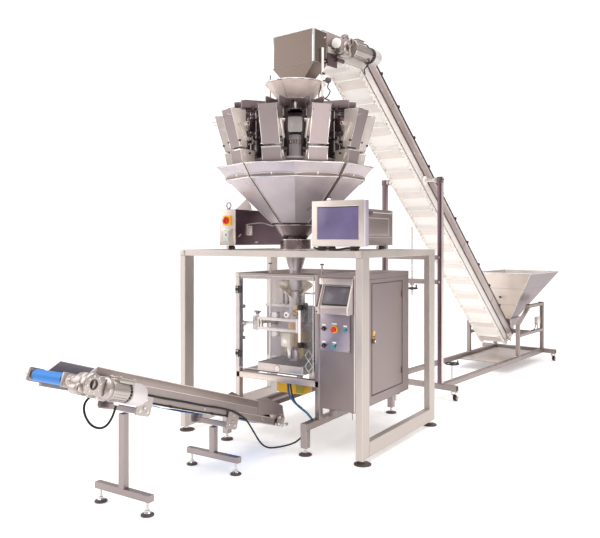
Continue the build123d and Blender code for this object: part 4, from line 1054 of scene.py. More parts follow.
# ---------------------------------------------------------------- weigher base, display and inlet
@built("weigher_base_trim", slot="stainless")
def weigher_base_trim(trim):
    """Main switch plate, socket, lifting eye, feet and side panels of the two boxes under the weigher."""
    trim.block((-618, -443), (-322, -320), (1707, 2028), "pale_panel", 0.6)
    trim.block((-576, -484), (-331, -322), (1886, 1974), "yellow", 4)
    trim.turned([(0, 0), (36, 0), (36, 5), (0, 5)], "yellow", aim((-530, -331, 1930), (-530, -341, 1930)), 32)
    trim.block((-588, -472), (-333, -321), (1718, 1856), "display", 7)
    trim.block((-572, -488), (-346, -332), (1730, 1846), "pale_green", 8)
    trim.block((-562, -498), (-351, -345), (1742, 1836), "pale_green", 6)
    trim.rod((-522, -351, 1800), (-522, -353, 1800), 9, "drive_plum")
    for z in (1736, 1840):
        trim.bolt((-530, -346, z), (0, -1, 0), 4, "chrome")
    ring = [(-530 + 25 * math.sin(a), -300, 2068 - 25 * math.cos(a)) for a in
            (2 * math.pi * k / 20 for k in range(20))]
    trim.wire(ring, 6, "frame_steel", 10, 1, closed=True)
    trim.turned([(0, 0), (18, 0), (18, 4), (10, 12), (0, 12)], "frame_steel", Matrix.Translation((-530, -300, 2030)))
    trim.block((-443, -438.5), (-322, -317), (1707, 2028), "bright_steel", 1)
    trim.block((-440.5, -438.6), (-312, 722), (1712, 2020), "plum_steel", 0.6)
    trim.block((-440.5, -434), (-318, 728), (2018, 2029), "plum_steel", 1)
    trim.block((-438.6, -418), (-170, -92), (1796, 1886), "light_steel", 4)
    for z in (1812, 1868):
        for y in (-152, -110):
            trim.bolt((-418, y, z), (1, 0, 0), 5, "chrome")
    trim.wire([(-424, -180, 1892), (-404, -120, 1904), (-380, 10, 1912), (-330, 90, 1890), (-250, 160, 1868),
               (-200, 200, 1850)], 5, "light_steel", 8, 5)
    trim.plate([(-286, 1776), (-262, 1800), (-236, 1812), (-250, 1790)], (-439, -434), "light_steel", "X", 0.6)
    trim.block((-438.6, -430), (-30, 10), (1728, 1738), "light_steel", 1)
    for side in (-1, 1):
        for y in (-260, 670):
            x = side * 530
            trim.turned([(14, 1668), (32, 1668), (34, 1674), (34, 1690), (26, 1700), (14, 1703)], "black_plastic",
                        Matrix.Translation((x, y, 0)), 28, close=True)
            trim.block((x - 34, x - 6), (y - 36, y - 28), (1670, 1700), "white_belt", 4)
    for y, z in ((-300, 1720), (700, 1720), (-300, 2016), (700, 2016)):
        trim.bolt((620, y, z), (1, 0, 0), 6, "chrome")
    trim.block((619.5, 622), (-316, 726), (1708, 2028), "brown_steel", 0.8)
    trim.block((621, 627), (-270, 640), (1790, 1958), "brown_steel", 4)
    for y in (-262, 632):
        trim.rod((627, y, 1798), (627, y, 1950), 2.4, "light_steel", 8)
    for z in (1798, 1950):
        trim.rod((627, -262, z), (627, 632, z), 2.4, "light_steel", 8)
    trim.rod((623, -300, 2000), (623, 700, 2000), 4, "light_steel", 10)
    trim.rod((623, -300, 1776), (623, 700, 1776), 2.4, "light_steel", 10)
    trim.block((622, 634), (230, 300), (1976, 2006), "drive_plum", 4)
    for gap in range(7):
        trim.block((627, 630), (-200, 560), (1822 + 17 * gap, 1825 + 17 * gap), "brown_steel", 1)


def make_main_switch():
    knob = Piece("main_switch_knob", body="main_switch", slot="red_plastic")
    front = aim((-530, -341.5, 1930), (-530, -361, 1930))
    knob.turned([(0, 0), (33, 0), (34, 3), (31, 14), (26, 17), (0, 17)], "red_plastic", front, 40)
    for turn in range(8):
        ridge = Matrix.Rotation(math.radians(45 * turn), 4, "Z")
        knob.block((28, 36), (-5, 5), (1, 12), "red_plastic", 3, front @ ridge)
    knob.block((-537, -523), (-378, -352), (1903, 1957), "red_plastic", 5)
    knob.block((-532, -528), (-379.5, -377), (1940, 1955), "white_belt", 0.6)
    knob.rod((-530, -342, 1930), (-530, -309, 1930), 5, "chrome")
    knob.done("main_switch")


make_main_switch()


@built("display_unit", slot="display", stands_for=["weigher_display"])
def display(unit):
    unit.block((450, 926), (-450, -388), (1701, 2069), "display", 6)
    # Painted shade: the housing's right side is a darker, cooler copy of the housing's steel.
    unit.plate([(922, -449), (930, -446), (939, -432), (940, -388), (922, -388)], (1703, 2067), "display_shaded_side", "Z",
               3)
    left, right, low, top = 503, 884, 1754, 2022
    for x in (left, right):
        unit.rod((x, -450, low), (x, -450, top), 4, "bright_steel", 10)
    for z in (low, top):
        unit.rod((left, -450, z), (right, -450, z), 4, "bright_steel", 10)
    unit.block((left, right), (-451.5, -448), (low, top), "screen", 0.8)
    # Painted shade: a dark strip across the top of the screen, under the bezel's top edge.
    unit.block((505, 882), (-452, -450), (2012, 2020), "drive_dark", 0.6)
    for x in (500, 800):
        unit.block((x, x + 60), (-440, -395), (1667, 1702), "drive_dark", 4)
    unit.turned([(0, 0), (12, 0), (17, 6), (17, 16), (12, 22), (0, 22)], "white_belt",
                Matrix.Translation((592, -415, 2068)), 24)
    for offset, low in ((0, 1680), (-10, 1674)):
        unit.wire([(462, -428 + offset, 1692), (520, -436 + offset, low), (590, -430 + offset, low + 8),
                   (680, -438 + offset, low - 2), (770, -430 + offset, low + 10), (880, -424 + offset, 1694)], 6,
                  "drive_dark", 8, 5)
    for slot in range(12):
        unit.block((540, 800), (-388, -386), (1790 + 16 * slot, 1797 + 16 * slot), "plum_steel", 0.8)
    unit.block((600, 740), (-388, -372), (1712, 1764), "drive_plum", 5)


@built("inlet_trim", slot="stainless")
def inlet_trim(trim):
    """Rims, clamps, guide rods, the level sensor and the wiring ring at the weigher's inlet."""
    for radius, height, wire in ((271, 3157, 6), (156, 3013, 6)):
        trim.wire(circle(radius, height, 40), wire, "bright_steel", 10, 1, closed=True)
    for seam in (35, 155, 275):
        a = math.radians(seam)
        trim.rod((156 * math.cos(a), 156 * math.sin(a), 3014), (270 * math.cos(a), 270 * math.sin(a), 3156), 2.4,
                 "bright_steel", 8)
    trim.turned([(172, 2966), (226, 2966), (228, 2972), (226, 2980), (172, 2980)], "drive_dark", sides=60, close=True)
    for turn in range(10):
        a = math.radians(36 * turn + 8)
        trim.block((214, 296), (-9, 9), (2958, 2970), "drive_dark", 3, Matrix.Rotation(a, 4, "Z"))
        trim.turned([(0, 0), (16, 0), (16, 14), (0, 14)], "drive_plum",
                    Matrix.Translation((290 * math.cos(a), 290 * math.sin(a), 2962)), 20)
    trim.rod((285, 0, 2968), (285, 0, 3452), 11, "white_belt")
    trim.rod((-280, 0, 2968), (-280, 0, 3282), 8.6, "light_steel")
    for x, z in ((-280, 3222), (285, 3222), (-280, 3004), (285, 3004)):
        trim.block((x - 17, x + 17), (-17, 17), (z - 9, z + 9), "drive_dark", 4)
        trim.bolt((x, -17, z), (0, -1, 0), 6, "chrome")
    trim.block((285, 332), (-7, 7), (3151, 3163), "drive_dark", 3)
    trim.turned([(0, 0), (22, 0), (26, 6), (26, 30), (20, 38), (0, 38)], "drive_plum",
                aim((340, 22, 3160), (340, -24, 3154)), 28)
    trim.wire([(340, 18, 3145), (326, 20, 3100), (356, 10, 3060), (330, 0, 3010), (268, -10, 2984)], 5, "drive_dark",
              8, 6)
    trim.wire([(285, 12, 3230), (262, 30, 3150), (210, 60, 3050), (232, 70, 2984)], 5, "drive_dark", 8, 6)
    trim.wire([(240, -60, 2978), (320, -70, 2990), (390, -40, 2960), (430, 20, 2900)], 6, "drive_dark", 8, 6)
    trim.wire([(-240, -60, 2978), (-300, -70, 2994), (-360, -60, 2950), (-400, 20, 2890)], 6, "drive_dark", 8, 6)


# ---------------------------------------------------------------- console and cabinet
@built("console_trim", slot="stainless")
def console_trim(trim):
    """Touch screen, hood cheeks and bands, the button plate and its collars and blank label plates."""
    slope = math.atan2(80, 184)
    face = Matrix.Translation((0, -402, 1200)) @ Matrix.Rotation(-slope, 4, "X")
    trim.block((458, 484), (-3, 1), (3, 196), "plum_steel", 1, face)
    trim.block((510, 758), (-9, 1), (24, 188), "black_plastic", 5, face)
    trim.block((520, 748), (-11, -8), (34, 178), "screen_frame", 4, face)
    trim.block((546, 722), (-12.4, -10), (52, 164), "screen_grey", 1.5, face)
    trim.block((458, 758), (-2.5, 1), (-2, 22), "hood", 1, face)
    trim.block((457, 761), (-405, -401), (1152, 1201), "hood", 1.5)
    cheek = [(-320, 1437), (-335, 1437), (-336, 1384), (-414, 1201), (-414, 1150), (-402, 1150), (-402, 1200),
             (-322, 1384)]
    for low, high in ((484, 491), (752, 762)):
        trim.plate(cheek, (low, high), "cream_edge", "X", 1)
    trim.block((457, 761), (-338, -333), (1388, 1437), "hood", 1.5)
    trim.block((458, 494), (-340, -337), (1390, 1436), "cream_edge", 1)
    for x in (468, 750):
        trim.bolt((x, -405, 1166), (0, -1, 0), 5, "drive_plum")
    trim.block((457, 733), (-321.5, -319.5), (842, 1147), "button_plate", 1)
    for x in (464, 726):
        for z in (850, 1140):
            trim.bolt((x, -321.5, z), (0, -1, 0), 4, "chrome")
    for x, z, hole, ring, rise, look in ((590, 1020, 15.5, 31, 5, "yellow"), (692, 1020, 10.5, 19, 0.9, "chrome"),
                                         (590, 880, 10.5, 19, 0.9, "chrome"), (490, 1020, 6, 20, 5, "drive_dark"),
                                         (490, 880, 6, 20, 5, "drive_dark")):
        trim.turned([(hole, 0), (ring, 0), (ring, rise * 0.6), (ring - 3, rise), (hole, rise)], look,
                    aim((x, -321.5, z), (x, -330, z)), 32, close=True)
        if look != "yellow":
            trim.block((x - 17, x + 17), (-323.5, -321.5), (z + 25, z + 38), "white_belt", 1)
    trim.block((566, 614), (-323, -321.5), (1060, 1070), "white_belt", 0.8)
    trim.block((444, 446.5), (-306, 750), (358, 1462), "stainless", 0.8)
    trim.block((772, 774), (-10, 620), (430, 436), "drive_plum", 0.6)
    for y in (-3, 613):
        trim.block((771.5, 775), (y - 2, y + 2), (437, 1384), "groove", 0.8)
    for z in (437, 1383):
        trim.block((771.5, 775), (-4, 614), (z - 2, z + 2), "groove", 0.8)
    trim.block((771, 774), (-306, 752), (1418, 1421), "groove", 0.6)
    for z in (560, 1260):
        trim.rod((776, 606, z - 30), (776, 606, z + 30), 6, "drive_plum", 14)
    trim.block((765, 772.5), (-312, -304), (358, 1462), "light_steel", 3)
    for y in (-190, 636):
        trim.turned([(0, 325), (30, 325), (34, 331), (34, 348), (22, 355), (0, 355)], "drive_dark",
                    Matrix.Translation((700, y, 0)), 28)
        trim.block((478, 532), (y - 26, y + 26), (262, 326), "frame_steel", 4)
        trim.rod((700, y, 262), (700, y, 326), 13, "chrome")


@built("cabinet_lock", body="cabinet_door", slot="stainless")
def cabinet_lock(lock):
    lock.block((772, 778), (4, 40), (916, 982), "yellow", 3)
    lock.block((777, 784), (10, 34), (926, 940), "drive_plum", 3)
    lock.wire([(780, 10, 960), (786, 14, 974), (786, 30, 974), (780, 34, 960)], 3, "chrome", 8, 4)
    lock.turned([(0, 0), (22, 0), (22, 6), (18, 10), (18, 16), (13, 18), (0, 18)], "drive_plum",
                aim((772, 22, 895), (792, 22, 895)), 28)
    lock.turned([(0, 18), (11, 18), (11, 20), (0, 20)], "bright_steel", aim((772, 22, 895), (792, 22, 895)), 24)


def make_button(name, body, x, z, radius, reach, look, key=False):
    """A push button's domed cap or a selector's ridged knob, on its stem."""
    cap = Piece(name, body=body, slot=look)
    at = aim((x, -318, z), (x, -330, z))
    if key:
        cap.turned([(0, 9), (radius, 9), (radius, 14), (radius - 2, 17), (0, 17)], look, at, 32)
        cap.block((-radius + 1, radius - 1), (-5, 5), (14, reach + 16), look, 3, at)
        cap.block((radius - 7, radius - 2), (-1.4, 1.4), (reach + 15.4, reach + 16.6), "white_belt", 0.3, at)
    else:
        cap.turned([(0, 9.6), (radius * 0.62, 9.6), (radius * 0.62, reach * 0.49), (radius, reach * 0.5),
                    (radius, reach * 0.84), (radius * 0.9, reach * 0.95), (radius * 0.55, reach), (0, reach + 0.8)],
                   look, at, 40)
    cap.rod((x, -328, z), (x, -296, z), 5, "chrome")
    cap.done(body)


make_button("estop_cap", "estop_button", 590, 1020, 23, 36, "red_plastic")
make_button("start_cap", "start_button", 692, 1020, 15, 20, "green_plastic")
make_button("reset_cap", "reset_button", 590, 880, 15, 20, "green_plastic")
make_button("mode_knob", "mode_selector", 490, 1020, 15, 16, "black_plastic", True)
make_button("power_knob", "power_selector", 490, 880, 15, 16, "black_plastic", True)


# ---------------------------------------------------------------- bagger
HINGE_Z = (737, 1310)


@built("bagger_trim", slot="frame_steel")
def frame_trim(trim):
    """Door hinges and catches, wiring ducts, valves, hoses and the yellow chute on the bagger's frame."""
    for z in HINGE_Z:
        trim.block((-440, -404), (-323, -310), (z - 32, z + 32), "black_plastic", 4)
        trim.rod((-401, -319, z - 34), (-401, -319, z + 34), 6, "black_plastic", 16)
        for x, dz in ((-431, -20), (-431, 20), (-413, -20), (-413, 20)):
            trim.bolt((x, -323, z + dz), (0, -1, 0), 5, "bright_steel")
    for z in (876, 1158):
        trim.rod((-396, -285, z), (-376, -285, z), 7, "chrome")
        trim.turned([(0, 0), (12, 0), (16, 5), (16, 16), (0, 18)], "drive_plum", aim((-378, -285, z), (-350, -285, z)),
                    20)
    trim.block((-396, -380), (-300, -270), (920, 1030), "drive_plum", 4)
    trim.turned([(0, 0), (17, 4), (22, 16), (19, 30), (0, 36)], "cast_silver",
                aim((-384, -285, 1003), (-340, -268, 1003)), 28)
    trim.rod((-352, -268, 1003), (-290, -250, 1010), 8, "chrome")
    for x in (-300, -250):
        trim.block((x - 26, x + 10), (236, 249), (612, 1396), "frame_steel", 3)
    trim.block((-230, -214), (226, 249), (1120, 1400), "drive_plum", 3)
    for z in (1160, 1232, 1300, 1372):
        trim.rod((-222, 226, z), (-222, 208, z), 9, "drive_dark")
    trim.block((-330, -236), (120, 236), (1050, 1118), "frame_steel", 6)
    trim.block((-322, -262), (60, 122), (960, 1040), "drive_plum", 6)
    trim.block((-330, 40), (210, 240), (1120, 1144), "light_steel", 5)
    for x in (-310, -240, -170, -100, -30):
        trim.turned([(0, 0), (15, 0), (18, 6), (12, 18), (0, 20)], "cast_silver",
                    aim((x, 210, 1132), (x, 184, 1132)), 24)
    trim.block((-160, -84), (150, 228), (1052, 1118), "cast_silver", 8)
    trim.block((60, 380), (236, 249), (700, 1380), "drive_plum", 3)
    for number, z in enumerate(range(760, 1211, 90)):
        look = ("drive_plum", "red_brown", "drive_dark")[number % 3]
        trim.block((210, 350), (190 - 8 * (number % 3), 238), (z, z + 62), look, 8)
        trim.rod((240, 190, z + 30), (240, 168, z + 30), 11, "chrome")
        trim.wire([(300, 188, z + 20), (330, 150, z - 10), (345, 170, z - 60)], 5, "drive_dark", 8, 5)
    trim.block((222, 262), (60, 150), (938, 1046), "light_steel", 6)
    trim.rod((262, 100, 990), (316, 100, 990), 26, "cast_silver", 28)
    trim.rod((316, 100, 990), (338, 100, 990), 18, "chrome", 24)
    trim.rod((230, 60, 864), (330, 60, 864), 7, "bright_steel")
    trim.block((-194, 102), (-20, 120), (364, 458), "yellow", 6)
    trim.block((-200, 108), (-26, 126), (454, 466), "white_belt", 4)
    trim.block((20, 106), (-30, -20), (376, 450), "olive", 5)
    trim.wire([(96, -262, 508), (120, -290, 440), (170, -300, 380), (240, -310, 338), (330, -330, 300),
               (400, -360, 262)], 10, "blue_hose", 10, 8)
    trim.wire([(118, -262, 508), (150, -284, 430), (190, -292, 366), (260, -300, 326)], 7, "drive_dark", 8, 8)
    for x in (-330, -180):
        trim.block((x, x + 40), (-250, 690), (262, 292), "drive_plum", 3)
    trim.block((-430, 430), (-312.5, -310.5), (524, 572), "display", 1)
    trim.block((-442, -398), (-312.5, -310.5), (262, 1456), "pale_panel", 1.5)
    trim.block((-396, -394.4), (-308, -264), (600, 1400), "plum_steel", 0.5)
    # Painted shade: a dim sheet behind the film tube stands in for the shaded inside of the bagger.
    trim.block((-392, 395), (100, 104), (666, 1128), "dim_interior_shade", 1)
    trim.block((-400, 395), (92, 108), (1128, 1152), "pale_cover", 3)
    trim.block((398, 442), (-312.5, -310.5), (262, 1456), "frame_steel", 1.5)
    trim.block((-396, 396), (-309, -262), (1456, 1461.5), "drive_plum", 2)
    for side in (-1, 1):
        for z in (540, 1436):
            trim.block((side * 447 - 4, side * 447 + 4), (-304, -268), (z - 18, z + 18), "black_plastic", 3)


@built("jaw_guard_trim", slot="stainless")
def jaw_guard_trim(trim):
    trim.block((-240, 240), (-253, -250), (590, 661), "display", 1)
    trim.block((236, 243), (-254, -240), (590, 662), "bright_steel", 2)
    trim.block((-236, 236), (-248, 238), (660.6, 663), "plum_steel", 0.6)
    for x in (-237, 237):
        trim.block((x - 3, x + 3), (-250, 240), (660, 668), "light_steel", 2)
    trim.turned([(0, 0), (34, 0), (34, 2), (0, 2)], "red_ring", aim((-28, -253, 624), (-28, -256, 624)), 40)
    trim.turned([(0, 1.5), (28, 1.5), (28, 3), (0, 3)], "white_belt", aim((-28, -253, 624), (-28, -256, 624)), 40)
    trim.rod((-236, -251, 586), (236, -251, 586), 4, "drive_plum", 10)


@built("sealing_trim", slot="aluminium")
def sealing_trim(trim):
    """Linear bearings, cross bars, adjusting knobs and spring housings of the sealing frame."""
    for z in (955, 1045):
        trim.block((-264, 214), (-265, -261), (z, z + 26), "seal_bar", 1.5)
    trim.block((-286, -232), (-268, -230), (950, 1076), "cast_silver", 7)
    trim.block((-200, -184), (-266, -240), (980, 1046), "bright_steel", 3)
    trim.block((176, 206), (-268, -234), (952, 1074), "seal_bar", 5)
    trim.rod((-242, -249, 1075), (-242, -249, 1108), 11, "cast_silver", 24)
    trim.block((-278, -206), (-256, -242), (1108, 1122), "drive_plum", 5)
    trim.turned([(0, 0), (14, 0), (20, 10), (20, 20), (0, 22)], "drive_plum", Matrix.Translation((-242, -249, 1092)))
    for z in (1092, 930):
        trim.turned([(0, 0), (26, 0), (30, 6), (30, 34), (24, 40), (0, 40)], "pale_cover",
                    aim((-60, -214, z), (-60, -256, z)), 36)
        trim.block((-78, -46), (-236, -180), (z - 26, z + 26), "cast_silver", 5)
    trim.turned([(9, 0), (24, 0), (27, 4), (27, 26), (24, 30), (9, 30)], "white_belt",
                aim((62, -214, 1100), (62, -246, 1100)), 32, close=True)
    trim.rod((62, -190, 1100), (62, -252, 1100), 8, "drive_plum")
    for side in (-280, 280):
        trim.turned([(9.2, 0), (18, 0), (18, 60), (9.2, 60)], "cast_silver", Matrix.Translation((side, 0, 985)), 24,
                    close=True)
        trim.turned([(9.2, 0), (16, 0), (18, 6), (16, 12), (9.2, 12)], "drive_plum",
                    Matrix.Translation((side, 0, 1530)), 24, close=True)
    trim.block((96, 156), (-180, -150), (1085, 1180), "film_gold", 8)
    trim.wire([(98, -180, 1088), (150, -181, 1108), (100, -181, 1128), (152, -181, 1150)], 4, "red_brown", 8, 5)
    trim.block((160, 214), (-176, -120), (1118, 1190), "drive_dark", 8)
    trim.block((150, 196), (-150, -96), (1030, 1200), "plum_steel", 6)
    trim.rod((238, -228, 846), (262, -238, 846), 27, "drive_dark", 28)


@built("heater_cover", body="vertical_seal_bar", slot="aluminium")
def seal_bar_cover(cover):
    cover.block((-44, 56), (-172, -108), (806, 930), "cream_cover", 9)
    cover.block((-22, 34), (-174, -171), (836, 880), "cream_edge", 1)
    cover.block((-22, 22), (-112, -84), (690, 810), "aluminium", 3)
    cover.rod((0, -150, 806), (10, -160, 770), 7, "cast_silver", 12)
    cover.wire([(8, -160, 772), (24, -168, 740), (14, -160, 712), (34, -140, 690)], 5, "drive_plum", 8, 5)


@built("film_tube", slot="film")
def bag_film(film):
    """The film tube below the forming tube, with its folds and the seam band."""
    solid = bmesh.new()
    rows, sides = [], 40
    for step in range(26):
        z = 1010 - 13.2 * step
        pinch = max(0.0, (step - 15) / 10)
        ring = []
        for k in range(sides):
            a = 2 * math.pi * k / sides
            wrinkle = 1 + 0.035 * math.sin(5 * a + step * 0.5) + 0.02 * math.sin(11 * a - step * 0.9)
            ring.append(solid.verts.new((62 * wrinkle * math.cos(a) * (1 + 0.35 * pinch),
                                         62 * wrinkle * math.sin(a) * (1 - 0.75 * pinch), z)))
        rows.append(ring)
    bridge(solid, rows)
    film.add(solid, "film_gold")
    film.turned([(63.5, 764), (67, 768), (67, 792), (63.5, 796)], "film_band", sides=40, close=True)


@built("forming_shoulder", slot="chrome", stands_for=["forming_collar"])
def collar(collar):
    """The forming collar: a turned-down shoulder with two swept wings over its mounting plate."""
    collar.turned([(60, 1278), (66, 1290), (76, 1302), (74, 1304), (62, 1294), (57, 1282)], "chrome", sides=56,
                  close=True)
    solid = bmesh.new()
    rows, across_count, up_count = [], 44, 14
    for j in range(up_count + 1):
        row = []
        rise = j / up_count
        for i in range(across_count + 1):
            share = i / across_count
            turn = math.radians(-57 + 26 + 304 * share)
            wing = abs(share - 0.5) * 2
            reach = 64 + 104 * rise ** 1.4 * (0.8 + 0.2 * math.cos(6 * share))
            lift = 150 * rise * (1 - 0.35 * wing) - 30 * rise * wing * wing
            row.append(solid.verts.new((reach * math.cos(turn), reach * math.sin(turn), 1256 - 24 * wing + lift)))
        rows.append(row)
    bridge(solid, rows, wrap=False)
    bmesh.ops.solidify(solid, geom=solid.faces[:], thickness=2.0)
    collar.add(solid, "gold_steel")
    collar.block((-170, 170), (60, 92), (1262, 1274), "light_steel", 2)
    for side in (-1, 1):
        collar.block((side * 150, side * 170), (92, 248), (1262, 1274), "light_steel", 2)
        collar.bolt((side * 160, 76, 1274), (0, 0, 1), 8, "chrome")


@built("door_edges", body="front_door", slot="clear_panel", stands_for=["door_handle"])
def door(door):
    """The clear door's sheet with its polished edges, and its handle."""
    for x in (-400, 384):
        door.block((x - 2, x + 2), (-323, -313), (614, 1438), "clear_edge", 1)
    for z in (614, 1438):
        door.block((-400, 384), (-323, -313), (z - 2, z + 2), "clear_edge", 1)
    door.rod((270, -352, 872), (270, -352, 1168), 11, "white_belt", 20)
    for z in (852, 1168):
        door.block((252, 296), (-368, -322), (z - 8, z + 40), "black_plastic", 10)
        door.block((290, 318), (-340, -322), (z, z + 28), "black_plastic", 6)
    for z in (862, 1190):
        door.bolt((270, -322, z), (0, -1, 0), 6, "chrome")
    for z in HINGE_Z:
        door.block((-394, -366), (-325, -311), (z - 30, z + 30), "black_plastic", 4)
    for start, end in (((300, 780), (372, 690)), ((372, 780), (300, 690)), ((336, 640), (300, 690)),
                       ((336, 640), (372, 690)), ((300, 780), (336, 824)), ((372, 780), (336, 824))):
        door.rod((start[0], -313.6, start[1]), (end[0], -313.6, end[1]), 1.6, "white_belt", 6)


# ---------------------------------------------------------------- take-off conveyor
@built("takeoff_gearmotor_cast", TAKEOFF, slot="cast_silver", stands_for=["takeoff_gearmotor"])
def takeoff_gearmotor(drive):
    """The hollow-shaft gearbox with its bore, side flange and coupling, and the smooth motor behind it."""
    drive.turned([(12.2, 0), (30, 0), (33, 4), (33, 26), (29, 30), (29, 44), (35, 48), (35, 82), (12.2, 82)],
                 "cast_silver", aim((180, 0, 0), (262, 0, 0)), 40, close=True)
    drive.turned([(12.2, 0), (50, 0), (58, 8), (60, 20), (60, 52), (54, 60), (54, 66), (62, 70), (64, 76), (64, 100),
                  (58, 108), (44, 112), (30, 112), (27, 106), (27, 78), (12.2, 78)], "cast_silver",
                 aim((262, 0, 0), (374, 0, 0)), 56, close=True)
    drive.turned([(12.2, 0), (27.5, 0), (27.5, 3), (12.2, 3)], "red_brown", aim((342, 0, 0), (345, 0, 0)), 40,
                 close=True)
    drive.turned([(27.5, 0), (28.5, 0), (28.5, 30), (27.5, 30)], "drive_dark", aim((342, 0, 0), (372, 0, 0)), 40,
                 close=True)
    for k in range(8):
        a = math.radians(45 * k + 12)
        drive.bolt((374, 46 * math.cos(a), 46 * math.sin(a)), (1, 0, 0), 4.5, "chrome")
    drive.block((268, 356), (10, 106), (-66, 48), "cast_silver", 18)
    drive.block((280, 344), (-78, 0), (-58, -6), "cast_silver", 14)
    drive.turned([(0, 0), (30, 0), (33, 5), (33, 52), (27, 58), (20, 58), (18, 50), (0, 50)], "cast_silver",
                 aim((282, -64, -36), (342, -64, -36)), 36)
    drive.turned([(0, 51), (18, 51), (18, 53), (0, 53)], "drive_plum", aim((282, -64, -36), (342, -64, -36)), 28)
    for y, z, size in ((-10, -62, 12), (60, -66, 14), (96, 46, 10), (30, 52, 9)):
        drive.block((276, 350), (y - size, y + size), (z - 9, z + 9), "cast_silver", 5)
        drive.bolt((350, y, z), (1, 0, 0), 5, "chrome")
    at = aim((318, 104, -12), (318, 440, -12))
    drive.turned([(0, 0), (52, 0), (66, 10), (70, 16), (70, 32), (64, 38), (58, 56), (60, 60), (60, 180), (0, 180)],
                 "cast_silver", at, 56)
    for rib in range(20):
        spin = Matrix.Rotation(math.pi * rib / 10, 4, "Z")
        drive.block((57, 63.5), (-1.8, 1.8), (64, 206), "cast_silver", 1, at @ spin)
    drive.turned([(58, 200), (66, 204), (67, 210), (67, 306), (62, 322), (44, 332), (0, 334), (0, 200)],
                 "pale_cover", at, 56)
    for hole in range(3):
        drive.turned([(14 + 12 * hole, 334 - 3.5 * hole), (19 + 12 * hole, 333 - 3.5 * hole),
                      (19 + 12 * hole, 336 - 3.5 * hole), (14 + 12 * hole, 337 - 3.5 * hole)], "drive_plum", at, 40,
                     close=True)
    drive.block((276, 364), (196, 318), (36, 62), "cast_silver", 7)
    drive.block((272, 368), (192, 322), (60, 70), "cast_silver", 4)
    drive.block((292, 352), (230, 286), (69, 72), "drive_dark", 2)
    for x in (282, 358):
        for y in (202, 312):
            drive.bolt((x, y, 70), (0, 0, 1), 4, "chrome")
    drive.turned([(7.4, 0), (13, 0), (16, 4), (16, 18), (10, 26), (7.4, 26)], "white_belt",
                 aim((318, 250, -66), (318, 250, -92)), 24, close=True)
    drive.block((302, 334), (228, 272), (-78, -58), "white_belt", 6)
    drive.block((196, 270), (40, 96), (-58, -42), "frame_steel", 4)


def sagging(start, end, drop, count=14):
    """Points of a shallow hang between two (y, z) points."""
    points = []
    for k in range(count + 1):
        t = k / count
        points.append((start[0] + (end[0] - start[0]) * t, start[1] + (end[1] - start[1]) * t - drop * 4 * t * (1 - t)))
    return points


